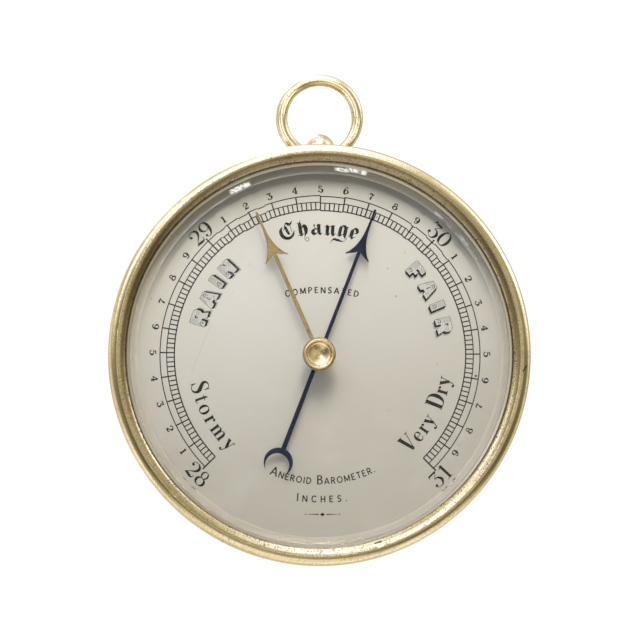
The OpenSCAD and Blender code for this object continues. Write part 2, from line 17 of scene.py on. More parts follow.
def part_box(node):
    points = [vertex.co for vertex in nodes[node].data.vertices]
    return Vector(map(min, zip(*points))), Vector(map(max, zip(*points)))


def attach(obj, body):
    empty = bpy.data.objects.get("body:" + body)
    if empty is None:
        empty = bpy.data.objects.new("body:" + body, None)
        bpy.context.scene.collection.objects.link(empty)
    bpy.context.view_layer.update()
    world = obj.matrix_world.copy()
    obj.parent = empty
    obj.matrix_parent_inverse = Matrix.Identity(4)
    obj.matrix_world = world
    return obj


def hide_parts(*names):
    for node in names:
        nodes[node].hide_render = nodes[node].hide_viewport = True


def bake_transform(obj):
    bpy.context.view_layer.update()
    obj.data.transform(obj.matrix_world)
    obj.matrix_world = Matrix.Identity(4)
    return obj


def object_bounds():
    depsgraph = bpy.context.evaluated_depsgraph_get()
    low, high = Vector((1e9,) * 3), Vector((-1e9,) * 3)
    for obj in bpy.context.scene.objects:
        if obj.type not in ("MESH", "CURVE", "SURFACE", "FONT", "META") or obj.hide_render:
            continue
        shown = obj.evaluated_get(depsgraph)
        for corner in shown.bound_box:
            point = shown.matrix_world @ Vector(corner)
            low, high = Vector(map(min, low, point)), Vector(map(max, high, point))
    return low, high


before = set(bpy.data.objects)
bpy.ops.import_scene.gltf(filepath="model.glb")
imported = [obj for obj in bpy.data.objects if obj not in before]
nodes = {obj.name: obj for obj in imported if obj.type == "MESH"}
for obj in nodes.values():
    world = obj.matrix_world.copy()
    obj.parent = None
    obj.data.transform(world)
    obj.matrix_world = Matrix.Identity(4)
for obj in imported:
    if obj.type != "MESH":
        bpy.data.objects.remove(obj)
cad_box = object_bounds()
random.seed(7)

MM = 0.001
FULL_TURN = 2 * math.pi


def to_row(x, y, z):
    """A dial point in millimetres as a row-frame point in metres."""
    return (x * MM, -z * MM, y * MM)


def to_dial(point):
    """A row-frame point in metres as a dial point in millimetres."""
    return (point[0] / MM, point[2] / MM, -point[1] / MM)


def cad_z(node):
    """Lowest and highest z of a CAD piece along the dial's axis."""
    low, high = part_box(node)
    return -high[1] / MM, -low[1] / MM


def cad_radius(node):
    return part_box(node)[1][0] / MM


DIAL_FEET, DIAL_TOP = cad_z("dial")
BEZEL_BOTTOM, BEZEL_TOP = cad_z("bezel")
BEZEL_R = cad_radius("bezel")
ROLL_R = 2.8  # the outer part of the bezel's rolled rim
ROLL_Z = BEZEL_TOP - ROLL_R

# lowest and highest z of everything printed on the dial
INK = (DIAL_TOP - 0.02, DIAL_TOP + 0.012)
# the rings were turned a little off the middle of the plate
RING_CENTRE = (0.20, 0.30)


# ------------------------------------------------------------------ mesh building
def is_clockwise(outline):
    pairs = zip(outline, outline[1:] + outline[:1])
    return sum(x0 * y1 - x1 * y0 for (x0, y0), (x1, y1) in pairs) < 0


def side_quads(low, high, count):
    """Faces between two rings of vertices that start at the given indices."""
    return [
        (low + i, low + (i + 1) % count, high + (i + 1) % count, high + i) for i in range(count)
    ]


class Solid:
    """Vertices and faces of one object, gathered piece by piece."""

    def __init__(self):
        self.verts = []
        self.faces = []
        self.slots = {}  # face index: material slot, where it is not the first

    def add(self, verts, faces):
        start = len(self.verts)
        self.verts.extend(verts)
        self.faces.extend(tuple(i + start for i in face) for face in faces)

    def prism(self, outline, span):
        """A closed flat plate over an outline, between two heights."""
        if is_clockwise(outline):
            outline = outline[::-1]
        n = len(outline)
        verts = [(x, y, z) for z in span for x, y in outline]
        ends = [tuple(range(n))[::-1]], [tuple(range(n, 2 * n))]
        self.add(verts, ends[0] + side_quads(0, n, n) + ends[1])

    def ribbon(self, points, span, closed=False):
        """A closed flat band along (x, y, width) points."""
        n = len(points)
        left, right = [], []
        for i, (x, y, width) in enumerate(points):
            if closed:
                before, after = points[i - 1], points[(i + 1) % n]
            else:
                before, after = points[max(i - 1, 0)], points[min(i + 1, n - 1)]
            dx, dy = after[0] - before[0], after[1] - before[1]
            length = math.hypot(dx, dy)
            side_x, side_y = -dy / length * width / 2, dx / length * width / 2
            left.append((x + side_x, y + side_y))
            right.append((x - side_x, y - side_y))
        bottom, top = span
        verts = [(x, y, z) for z in (top, bottom) for edge in (left, right) for x, y in edge]
        faces = []
        for i in range(n if closed else n - 1):
            j = (i + 1) % n
            faces += [
                (i, n + i, n + j, j),
                (2 * n + i, 2 * n + j, 3 * n + j, 3 * n + i),
                (i, j, 2 * n + j, 2 * n + i),
                (n + i, 3 * n + i, 3 * n + j, n + j),
            ]
        if not closed:
            faces += [(0, 2 * n, 3 * n, n), (n - 1, 2 * n - 1, 4 * n - 1, 3 * n - 1)]
        self.add(verts, faces)

    def disc(self, x, y, radius, span, sides):
        self.prism(circle(x, y, radius, sides), span)

    def lathe(self, profile, sides, bend=None):
        """A closed profile of (radius, z) stations turned about the dial's axis.

        Stations at radius 0 meet in one vertex. bend(station, radius, z, angle) moves a vertex.
        """
        verts, index = [], []
        for station, (r, z) in enumerate(profile):
            if r < 1e-6:
                index.append([len(verts)] * sides)
                verts.append((0.0, 0.0, z))
                continue
            index.append(list(range(len(verts), len(verts) + sides)))
            for i in range(sides):
                angle = FULL_TURN * i / sides
                radius, height = bend(station, r, z, angle) if bend else (r, z)
                verts.append((radius * math.sin(angle), radius * math.cos(angle), height))
        faces = []
        for low, high in zip(index, index[1:] + index[:1]):
            for i in range(sides):
                j = (i + 1) % sides
                face = tuple(dict.fromkeys((low[i], low[j], high[j], high[i])))
                if len(face) > 2:
                    faces.append(face)
        self.add(verts, faces)

    def build(self, name, materials, smooth=None, turn=0.0):
        """Makes the object. smooth is the sharp-edge angle, turn is clockwise; both in degrees."""
        cos, sin = math.cos(math.radians(-turn)), math.sin(math.radians(-turn))
        verts = [to_row(x * cos - y * sin, x * sin + y * cos, z) for x, y, z in self.verts]
        mesh = bpy.data.meshes.new(name)
        mesh.from_pydata(verts, [], self.faces)
        mesh.validate()
        for material in materials:
            mesh.materials.append(material)
        for index, slot in self.slots.items():
            mesh.polygons[index].material_index = slot
        obj = link_object(name, mesh)
        face_outward(mesh)
        if smooth is not None:
            mesh.polygons.foreach_set("use_smooth", [True] * len(mesh.polygons))
            mesh.set_sharp_from_angle(angle=math.radians(smooth))
        return obj


def link_object(name, data):
    obj = bpy.data.objects.new(name, data)
    bpy.context.scene.collection.objects.link(obj)
    return obj


def face_outward(mesh):
    """Every shell's faces look out."""
    work = bmesh.new()
    work.from_mesh(mesh)
    bmesh.ops.recalc_face_normals(work, faces=work.faces)
    work.to_mesh(mesh)
    work.free()
    mesh.update()


def stand_in(obj, part, node):
    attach(obj, part)
    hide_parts(node)


def circle(x, y, radius, sides):
    angles = [FULL_TURN * i / sides for i in range(sides)]
    return [(x + radius * math.cos(a), y + radius * math.sin(a)) for a in angles]


def inset(outline, distance):
    """An anticlockwise outline moved in, corner by corner."""
    moved = []
    n = len(outline)
    for i, (x, y) in enumerate(outline):
        before, after = outline[i - 1], outline[(i + 1) % n]
        in_x, in_y = x - before[0], y - before[1]
        out_x, out_y = after[0] - x, after[1] - y
        in_length, out_length = math.hypot(in_x, in_y), math.hypot(out_x, out_y)
        nx = -in_y / in_length - out_y / out_length
        ny = in_x / in_length + out_x / out_length
        length = math.hypot(nx, ny)
        nx, ny = nx / length, ny / length
        # the floor keeps sharp corners from shooting inwards
        cosine = max(nx * -in_y / in_length + ny * in_x / in_length, 0.55)
        moved.append((x + nx * distance / cosine, y + ny * distance / cosine))
    return moved


def curve(points, step, closed=False):
    """A smooth run through points of any number of values, cut about every step."""
    n = len(points)
    result = []
    for i in range(n if closed else n - 1):
        p1, p2 = points[i], points[(i + 1) % n]
        if closed:
            p0, p3 = points[i - 1], points[(i + 2) % n]
        else:
            p0, p3 = points[max(i - 1, 0)], points[min(i + 2, n - 1)]
        length = math.hypot(p2[0] - p1[0], p2[1] - p1[1])
        cuts = max(math.ceil(length / step), 2)
        for j in range(cuts):
            t = j / cuts
            result.append(tuple(
                0.5 * (
                    2 * b
                    + (c - a) * t
                    + (2 * a - 5 * b + 4 * c - d) * t * t
                    + (3 * b - a - 3 * c + d) * t * t * t
                )
                for a, b, c, d in zip(p0, p1, p2, p3)
            ))
    if not closed:
        result.append(tuple(points[-1]))
    return result


def angle_from(angle, degrees):
    """The signed angle from a clock angle in degrees to one in radians."""
    return (angle - math.radians(degrees) + math.pi) % FULL_TURN - math.pi


# ------------------------------------------------------------------ lettering
# A letter is (width, strokes) with cap height 1 and its foot corner at 0, 0.
# A stroke is (kind, points); points are (x, y, width), a dot's is (x, y, radius).
def bar(x0, y0, x1, y1, width, end_width=None):
    """A straight stroke."""
    return ("bar", [(x0, y0, width), (x1, y1, end_width or width)])


def run(*points):
    """A smooth stroke."""
    return ("run", points)


def dot(x, y, radius):
    return ("dot", [(x, y, radius)])


def slab(*corners):
    """A filled outline of (x, y) corners."""
    return ("slab", corners)


def oval(cx, cy, rx, ry, side, top):
    """A closed stroke, side wide at left and right and top wide above and below."""
    points = []
    for i in range(28):
        a = FULL_TURN * i / 28
        width = top + (side - top) * abs(math.cos(a)) ** 1.6
        points.append((cx + rx * math.cos(a), cy + ry * math.sin(a), width))
    return ("loop", points)


def half_turn(strokes, cx, cy):
    return [(kind, [(2 * cx - x, 2 * cy - y, w) for x, y, w in points]) for kind, points in strokes]


def serif(x, width, y=0.0, thick=0.035):
    """A thin slab serif centred on x."""
    return bar(x - width / 2, y + thick / 2, x + width / 2, y + thick / 2, thick)


def gem(x, y, w=0.115, h=0.088, lean=0.02):
    """The lozenge at the end of a blackletter stroke."""
    return slab((x - w, y - lean), (x + lean, y - h), (x + w, y + lean), (x - lean, y + h))


SIX = [
    run((0.5, 0.87, 0.04), (0.36, 0.985, 0.04), (0.2, 0.9, 0.09), (0.09, 0.55, 0.165),
        (0.12, 0.18, 0.14), (0.29, 0.015, 0.035), (0.48, 0.12, 0.1), (0.54, 0.31, 0.15),
        (0.47, 0.51, 0.09), (0.31, 0.6, 0.035), (0.15, 0.5, 0.035), (0.1, 0.35, 0.03)),
    dot(0.46, 0.84, 0.078),
]
DIGITS = {
    "0": (0.64, [oval(0.32, 0.5, 0.245, 0.48, 0.165, 0.035)]),
    "1": (0.44, [
        bar(0.24, 0, 0.24, 0.99, 0.15), serif(0.24, 0.38),
        run((0.05, 0.84, 0.03), (0.14, 0.88, 0.05), (0.24, 0.985, 0.08))]),
    "2": (0.62, [
        dot(0.135, 0.73, 0.085),
        run((0.06, 0.7, 0.05), (0.12, 0.93, 0.04), (0.3, 0.985, 0.04), (0.48, 0.9, 0.12),
            (0.545, 0.73, 0.165), (0.47, 0.52, 0.11), (0.27, 0.3, 0.045), (0.08, 0.07, 0.035)),
        run((0.07, 0.05, 0.03), (0.2, 0.1, 0.13), (0.36, 0.075, 0.15), (0.5, 0.06, 0.1),
            (0.57, 0.16, 0.04), (0.585, 0.27, 0.03))]),
    "3": (0.62, [
        bar(0.1, 0.94, 0.54, 0.95, 0.1),
        run((0.09, 0.99, 0.03), (0.075, 0.9, 0.05), (0.06, 0.8, 0.03)),
        bar(0.53, 0.96, 0.25, 0.585, 0.035),
        run((0.24, 0.585, 0.035), (0.42, 0.57, 0.08), (0.55, 0.33, 0.165), (0.44, 0.06, 0.08),
            (0.26, 0.02, 0.035), (0.1, 0.1, 0.04), (0.05, 0.22, 0.04)),
        dot(0.115, 0.22, 0.085)]),
    "4": (0.64, [
        bar(0.43, 0.99, 0.035, 0.3, 0.04), bar(0.02, 0.29, 0.62, 0.29, 0.045),
        bar(0.43, 0, 0.43, 0.99, 0.145, 0.12), serif(0.43, 0.34)]),
    "5": (0.62, [
        run((0.11, 0.96, 0.035), (0.28, 0.91, 0.1), (0.5, 0.98, 0.05)),
        bar(0.13, 0.95, 0.11, 0.52, 0.035),
        run((0.11, 0.53, 0.035), (0.28, 0.63, 0.045), (0.5, 0.5, 0.13), (0.55, 0.31, 0.165),
            (0.44, 0.07, 0.09), (0.25, 0.015, 0.035), (0.09, 0.09, 0.04), (0.06, 0.2, 0.04)),
        dot(0.12, 0.2, 0.08)]),
    "6": (0.62, SIX),
    "7": (0.6, [
        bar(0.05, 0.78, 0.07, 0.97, 0.03),
        run((0.07, 0.9, 0.09), (0.25, 0.93, 0.13), (0.42, 0.87, 0.09), (0.55, 0.95, 0.03)),
        run((0.56, 0.96, 0.03), (0.36, 0.6, 0.07), (0.27, 0.3, 0.14), (0.26, 0.03, 0.16))]),
    "8": (0.6, [
        oval(0.3, 0.745, 0.165, 0.235, 0.1, 0.035), oval(0.3, 0.265, 0.235, 0.255, 0.15, 0.035)]),
    "9": (0.62, half_turn(SIX, 0.3, 0.5)),
}
SERIF = {
    "S": (0.62, [
        run((0.5, 0.8, 0.035), (0.44, 0.94, 0.035), (0.28, 1, 0.035), (0.12, 0.9, 0.09),
            (0.1, 0.74, 0.13), (0.26, 0.58, 0.17), (0.44, 0.44, 0.18), (0.53, 0.27, 0.13),
            (0.47, 0.07, 0.08), (0.28, 0, 0.035), (0.12, 0.07, 0.035), (0.06, 0.22, 0.035)),
        bar(0.515, 0.7, 0.505, 1, 0.04), bar(0.045, 0.3, 0.055, 0, 0.04)]),
    "t": (0.36, [
        slab((0.085, 0.02), (0.215, 0.02), (0.215, 0.78), (0.16, 0.72), (0.085, 0.62)),
        bar(0, 0.535, 0.33, 0.535, 0.035),
        run((0.15, 0.09, 0.12), (0.2, 0.015, 0.05), (0.29, 0.03, 0.03), (0.34, 0.11, 0.03))]),
    "o": (0.52, [oval(0.26, 0.28, 0.205, 0.275, 0.125, 0.03)]),
    "r": (0.44, [
        bar(0.15, 0, 0.15, 0.54, 0.125), serif(0.15, 0.3), bar(0.03, 0.535, 0.17, 0.55, 0.03),
        run((0.19, 0.36, 0.03), (0.27, 0.52, 0.035), (0.36, 0.55, 0.04)),
        dot(0.365, 0.485, 0.068)]),
    "m": (0.94, [
        bar(0.15, 0, 0.15, 0.54, 0.125), serif(0.15, 0.28), bar(0.03, 0.535, 0.17, 0.55, 0.03),
        run((0.18, 0.38, 0.03), (0.3, 0.54, 0.04), (0.42, 0.51, 0.09), (0.46, 0.38, 0.125),
            (0.46, 0.2, 0.125), (0.46, 0, 0.125)),
        serif(0.46, 0.26),
        run((0.5, 0.38, 0.03), (0.61, 0.54, 0.04), (0.73, 0.51, 0.09), (0.78, 0.38, 0.125),
            (0.78, 0.2, 0.125), (0.78, 0, 0.125)),
        serif(0.78, 0.28)]),
    "y": (0.54, [
        bar(0.1, 0.55, 0.29, 0.04, 0.14, 0.13), serif(0.11, 0.24, 0.52),
        run((0.44, 0.54, 0.03), (0.32, 0.16, 0.035), (0.22, -0.12, 0.04), (0.13, -0.25, 0.04),
            (0.05, -0.24, 0.04)),
        serif(0.44, 0.19, 0.52), dot(0.06, -0.19, 0.068)]),
    "V": (0.74, [
        bar(0.12, 0.98, 0.38, 0.02, 0.17, 0.15), bar(0.65, 0.98, 0.39, 0, 0.035),
        serif(0.13, 0.32, 0.965), serif(0.64, 0.22, 0.965)]),
    "e": (0.48, [
        run((0.06, 0.3, 0.03), (0.2, 0.3, 0.03), (0.42, 0.3, 0.03)),
        run((0.42, 0.3, 0.05), (0.38, 0.48, 0.08), (0.24, 0.555, 0.03), (0.1, 0.44, 0.1),
            (0.07, 0.27, 0.13), (0.12, 0.09, 0.1), (0.26, 0.01, 0.04), (0.42, 0.13, 0.03))]),
    "D": (0.78, [
        bar(0.18, 0, 0.18, 1, 0.17), serif(0.17, 0.32), serif(0.17, 0.32, 0.965),
        run((0.18, 0.982, 0.035), (0.38, 0.982, 0.035), (0.57, 0.88, 0.1), (0.66, 0.66, 0.165),
            (0.67, 0.4, 0.17), (0.57, 0.12, 0.1), (0.38, 0.018, 0.035), (0.18, 0.018, 0.035))]),
    " ": (0.34, []),
}
STEM = 0.155  # stroke width of the plain capitals
SANS = {
    "A": (0.8, [
        bar(0.04, 0, 0.4, 0.98, STEM), bar(0.4, 0.98, 0.76, 0, STEM),
        bar(0.16, 0.32, 0.64, 0.32, STEM * 0.8)]),
    "B": (0.62, [
        bar(0.08, 0, 0.08, 1, STEM),
        run((0.08, 0.94, 0.12), (0.34, 0.94, 0.12), (0.5, 0.76, STEM), (0.34, 0.54, 0.12),
            (0.08, 0.52, 0.12)),
        run((0.08, 0.52, 0.12), (0.38, 0.52, 0.12), (0.56, 0.28, STEM), (0.38, 0.06, 0.12),
            (0.08, 0.06, 0.12))]),
    "C": (0.8, [
        run((0.72, 0.8, STEM), (0.58, 0.93, STEM), (0.4, 0.95, STEM), (0.18, 0.84, STEM),
            (0.08, 0.5, STEM), (0.18, 0.16, STEM), (0.4, 0.05, STEM), (0.58, 0.08, STEM),
            (0.72, 0.21, STEM))]),
    "D": (0.76, [
        bar(0.08, 0, 0.08, 1, STEM),
        run((0.08, 0.94, 0.13), (0.36, 0.93, 0.13), (0.6, 0.76, STEM), (0.68, 0.5, STEM),
            (0.6, 0.24, STEM), (0.36, 0.07, 0.13), (0.08, 0.06, 0.13))]),
    "E": (0.6, [
        bar(0.08, 0, 0.08, 1, STEM), bar(0.08, 0.94, 0.56, 0.94, 0.12),
        bar(0.08, 0.52, 0.48, 0.52, 0.12), bar(0.08, 0.06, 0.58, 0.06, 0.12)]),
    "H": (0.72, [
        bar(0.08, 0, 0.08, 1, STEM), bar(0.64, 0, 0.64, 1, STEM), bar(0.08, 0.5, 0.64, 0.5, 0.12)]),
    "I": (0.2, [bar(0.1, 0, 0.1, 1, STEM)]),
    "M": (0.92, [
        bar(0.08, 0, 0.1, 1, STEM), bar(0.1, 0.97, 0.46, 0.1, STEM),
        bar(0.46, 0.1, 0.82, 0.97, STEM), bar(0.84, 0, 0.82, 1, STEM)]),
    "N": (0.78, [
        bar(0.08, 0, 0.08, 1, STEM), bar(0.1, 0.97, 0.68, 0.03, STEM), bar(0.7, 0, 0.7, 1, STEM)]),
    "O": (0.9, [oval(0.45, 0.5, 0.37, 0.45, STEM, STEM)]),
    "P": (0.64, [
        bar(0.08, 0, 0.08, 1, STEM),
        run((0.08, 0.94, 0.12), (0.38, 0.94, 0.12), (0.56, 0.72, STEM), (0.38, 0.48, 0.12),
            (0.08, 0.47, 0.12))]),
    "R": (0.68, [
        bar(0.08, 0, 0.08, 1, STEM),
        run((0.08, 0.94, 0.12), (0.38, 0.94, 0.12), (0.56, 0.73, STEM), (0.38, 0.5, 0.12),
            (0.08, 0.49, 0.12)),
        bar(0.34, 0.5, 0.62, 0, STEM)]),
    "S": (0.62, [
        run((0.54, 0.82, STEM), (0.42, 0.94, STEM), (0.24, 0.94, STEM), (0.1, 0.8, STEM),
            (0.14, 0.62, STEM), (0.32, 0.52, STEM), (0.5, 0.38, STEM), (0.52, 0.18, STEM),
            (0.38, 0.06, STEM), (0.2, 0.06, STEM), (0.06, 0.2, STEM))]),
    "T": (0.66, [bar(0.02, 0.94, 0.64, 0.94, 0.13), bar(0.33, 0, 0.33, 0.94, STEM)]),
    ".": (0.3, [dot(0.12, 0.08, 0.1)]),
    " ": (0.42, []),
}
BLACKLETTER = {
    "C": (0.8, [
        run((0.22, 0.8, 0.03), (0.1, 0.66, 0.12), (0.065, 0.46, 0.17), (0.13, 0.22, 0.17),
            (0.3, 0.07, 0.15), (0.5, 0.055, 0.13), (0.68, 0.18, 0.1), (0.8, 0.42, 0.03)),
        run((0.36, 0.84, 0.03), (0.4, 0.94, 0.05), (0.48, 0.97, 0.1), (0.56, 0.88, 0.14),
            (0.66, 0.87, 0.11), (0.74, 0.94, 0.06), (0.8, 1.03, 0.03)),
        run((0.33, 0.84, 0.05), (0.37, 0.74, 0.12), (0.42, 0.48, 0.13), (0.47, 0.32, 0.11),
            (0.52, 0.26, 0.03)),
        bar(0.64, 0.8, 0.655, 0.34, 0.02),
        run((0.22, 0.58, 0.02), (0.28, 0.66, 0.03), (0.34, 0.74, 0.02))]),
    "h": (0.6, [
        run((0.19, 0.72, 0.14), (0.19, 0.4, 0.15), (0.2, 0.14, 0.15)),
        slab((0.27, 0.9), (0.215, 0.66), (0.11, 0.66), (0.04, 0.78), (0.15, 0.74)),
        gem(0.22, 0.075),
        bar(0.02, 0.06, 0.2, 0.1, 0.02, 0.03), bar(0.24, 0.07, 0.36, 0.15, 0.03, 0.02),
        run((0.22, 0.38, 0.02), (0.32, 0.5, 0.05), (0.41, 0.56, 0.13), (0.48, 0.46, 0.17),
            (0.5, 0.28, 0.16), (0.46, 0.12, 0.1), (0.4, 0, 0.035), (0.38, -0.16, 0.02),
            (0.45, -0.29, 0.02), (0.56, -0.28, 0.022), (0.6, -0.17, 0.022),
            (0.53, -0.09, 0.022), (0.47, -0.15, 0.02))]),
    "a": (0.64, [
        bar(0.44, 0.5, 0.445, 0.12, 0.14), gem(0.42, 0.525), gem(0.48, 0.075),
        bar(0.5, 0.06, 0.62, 0.15, 0.03, 0.02), bar(0.42, 0.56, 0.58, 0.57, 0.03, 0.02),
        dot(0.19, 0.545, 0.05),
        run((0.19, 0.54, 0.05), (0.2, 0.44, 0.03), (0.28, 0.34, 0.02), (0.42, 0.2, 0.02)),
        run((0.42, 0.36, 0.02), (0.28, 0.36, 0.03), (0.15, 0.27, 0.11), (0.11, 0.17, 0.16),
            (0.19, 0.07, 0.14), (0.28, 0.08, 0.05), (0.42, 0.2, 0.02))]),
    "n": (0.62, [
        bar(0.15, 0.5, 0.155, 0.12, 0.14), gem(0.13, 0.52), gem(0.185, 0.075),
        bar(-0.02, 0.47, 0.12, 0.53, 0.02, 0.03), bar(0, 0.07, 0.16, 0.09, 0.02, 0.03),
        bar(0.2, 0.07, 0.31, 0.15, 0.03, 0.02),
        run((0.18, 0.4, 0.02), (0.28, 0.5, 0.03), (0.4, 0.54, 0.04)),
        bar(0.44, 0.5, 0.445, 0.12, 0.14), gem(0.43, 0.525), gem(0.475, 0.075),
        bar(0.49, 0.06, 0.61, 0.15, 0.03, 0.02), bar(0.43, 0.57, 0.57, 0.57, 0.03, 0.02)]),
    "g": (0.58, [
        bar(0.14, 0.46, 0.13, 0.12, 0.14), gem(0.155, 0.49), gem(0.16, 0.07),
        bar(0.17, 0.06, 0.4, 0.2, 0.03, 0.02), bar(-0.02, 0.1, 0.12, 0.07, 0.02, 0.03),
        run((0.14, 0.52, 0.03), (0.24, 0.6, 0.06), (0.35, 0.58, 0.13), (0.46, 0.52, 0.1),
            (0.56, 0.6, 0.025)),
        run((0.42, 0.52, 0.14), (0.425, 0.3, 0.15), (0.42, 0.12, 0.13), (0.45, 0, 0.06),
            (0.5, -0.1, 0.02))]),
    "e": (0.5, [
        run((0.2, 0.54, 0.03), (0.15, 0.46, 0.13), (0.13, 0.26, 0.15), (0.15, 0.12, 0.14)),
        gem(0.2, 0.065, 0.105),
        bar(0.21, 0.05, 0.4, 0.16, 0.03, 0.02), bar(-0.04, 0.13, 0.12, 0.1, 0.02, 0.03),
        run((0.16, 0.5, 0.04), (0.26, 0.6, 0.08), (0.37, 0.56, 0.14), (0.43, 0.43, 0.11),
            (0.32, 0.33, 0.03), (0.18, 0.28, 0.02))]),
}


def letter_place(angle, radius, size, width, drop=0.0, wide=1.0, tops_out=True, shift=(0, 0)):
    """A function from letter points to dial points.

    The letter's middle is at the clock angle in radians. Its foot lies on the radius, or lower
    by drop cap heights. shift moves the centre of the circle away from RING_CENTRE.
    """
    sin, cos = math.sin(angle), math.cos(angle)
    up_x, up_y = (sin, cos) if tops_out else (-sin, -cos)
    half, down = width * size * wide / 2, drop * size
    foot_x = RING_CENTRE[0] + shift[0] + radius * sin - up_y * half - up_x * down
    foot_y = RING_CENTRE[1] + shift[1] + radius * cos + up_x * half - up_y * down

    def place(x, y):
        x *= wide
        return (foot_x + (up_y * x + up_x * y) * size, foot_y + (up_y * y - up_x * x) * size)

    return place


def draw_strokes(solid, strokes, place, size, thin, bold):
    """Prints a letter. thin is the least stroke width, bold multiplies the others."""
    for kind, points in strokes:
        if kind == "dot":
            x, y, radius = points[0]
            solid.disc(*place(x, y), radius * size, INK, 16)
        elif kind == "slab":
            solid.prism([place(x, y) for x, y in points], INK)
        else:
            closed = kind == "loop"
            path = points if kind == "bar" else curve(points, 0.06, closed)
            band = [place(x, y) + (max(w * size * bold, thin),) for x, y, w in path]
            solid.ribbon(band, INK, closed)


def draw_line(solid, font, text, radius, middle, height, spread, thin, bold=1.0,
              tops_out=True, sizes=None, shift=(0, 0)):
    """Text round a circle, its ends spread apart along the foot line.

    radius is at half cap height, middle is the clock angle of the middle of the text.
    """
    sizes = sizes or [height] * len(text)
    widths = [font[c][0] * size for c, size in zip(text, sizes)]
    space = (spread - sum(widths)) / (len(text) - 1)
    way = 1 if tops_out else -1
    base = radius - way * height / 2
    at = -spread / 2
    for c, size, width in zip(text, sizes, widths):
        angle = math.radians(middle) + way * (at + width / 2) / base
        place = letter_place(angle, base, size, font[c][0], tops_out=tops_out, shift=shift)
        draw_strokes(solid, font[c][1], place, size, thin, bold)
        at += width + space


# ------------------------------------------------------------------ block letters
# Cap height 1. ruling: left and right ends of the lowest face line and their steps per line;
# ticks: left, right and lowest y of four short lines; scroll: its middle.
BLOCK = {
    "R": dict(
        width=1.0,
        outline=[(0, 0), (0.38, 0), (0.38, 0.3), (0.46, 0.3), (0.6, 0), (1, 0), (0.84, 0.42),
                 (0.93, 0.52), (0.96, 0.68), (0.92, 0.86), (0.81, 0.97), (0.64, 1), (0, 1)],
        hole=[(0.4, 0.58), (0.4, 0.78), (0.55, 0.78), (0.6, 0.68), (0.55, 0.58)],
        ruling=(0.04, 0.36, 0, 0), ticks=(0.66, 0.9, 0.56), scroll=(0.17, 0.24)),
    "A": dict(
        width=1.06,
        outline=[(0, 0), (0.38, 0), (0.42, 0.17), (0.6, 0.17), (0.65, 0), (1.06, 0), (0.76, 1),
                 (0.3, 1)],
        hole=[(0.45, 0.37), (0.53, 0.68), (0.61, 0.37)],
        ruling=(0.06, 0.34, 0.027, 0.012), ticks=(0.7, 0.86, 0.16), scroll=(0.6, 0.78)),
    "I": dict(
        width=0.43,
        outline=[(0, 0), (0.43, 0), (0.43, 1), (0, 1)],
        hole=None,
        ruling=(0.04, 0.39, 0, 0), ticks=(0.05, 0.38, 0.06), scroll=(0.2, 0.3)),
    "N": dict(
        width=0.85,
        outline=[(0, 0), (0.35, 0), (0.35, 0.4), (0.53, 0), (0.85, 0), (0.85, 1), (0.5, 1),
                 (0.5, 0.64), (0.34, 1), (0, 1)],
        hole=None,
        ruling=(0.04, 0.33, 0, 0), ticks=(0.58, 0.82, 0.56), scroll=(0.2, 0.26)),
    "F": dict(
        width=0.92,
        outline=[(0, 0), (0.42, 0), (0.42, 0.28), (0.66, 0.28), (0.66, 0.53), (0.46, 0.53),
                 (0.46, 0.64), (0.94, 0.64), (0.94, 1), (0, 1)],
        hole=None,
        ruling=(0.04, 0.4, 0, 0), ticks=(0.54, 0.9, 0.74), scroll=(0.2, 0.26)),
}
BLOCK_SIZE = 4.7
BLOCK_FOOT = DIAL_TOP + 0.001
SHADE_DEPTH = 0.60  # how far the heavy edge reaches right and down
HAIRLINE_OUT = 0.84  # how far the hairline outside it is moved
# (x, y, relative width) of the face scroll, from its middle
SCROLL = [(-0.13, -0.12, 0.4), (-0.08, 0.06, 0.9), (0.06, 0.1, 1.0), (0.11, -0.02, 0.8),
          (0.02, -0.07, 0.7), (-0.02, 0.0, 0.5)]
# (letter, clock angle, radius at half height)
BLOCK_WORDS = [
    ("R", -72.7, 38.2), ("A", -63.1, 37.8), ("I", -54.8, 38.3), ("N", -47.1, 38.3),
    ("F", 48.6, 38.6), ("A", 58.3, 38.5), ("I", 67.1, 38.5), ("R", 76.6, 38.5),
]


def crisp_band(outline, width):
    """Band points close to both ends of every edge, so the band turns corners cleanly."""
    band = []
    for a, b in zip(outline, outline[1:] + outline[:1]):
        length = math.hypot(b[0] - a[0], b[1] - a[1])
        short = min(0.04, length / 3)
        dx, dy = (b[0] - a[0]) * short / length, (b[1] - a[1]) * short / length
        band.append((a[0] + dx, a[1] + dy, width))
        band.append((b[0] - dx, b[1] - dy, width))
    return band


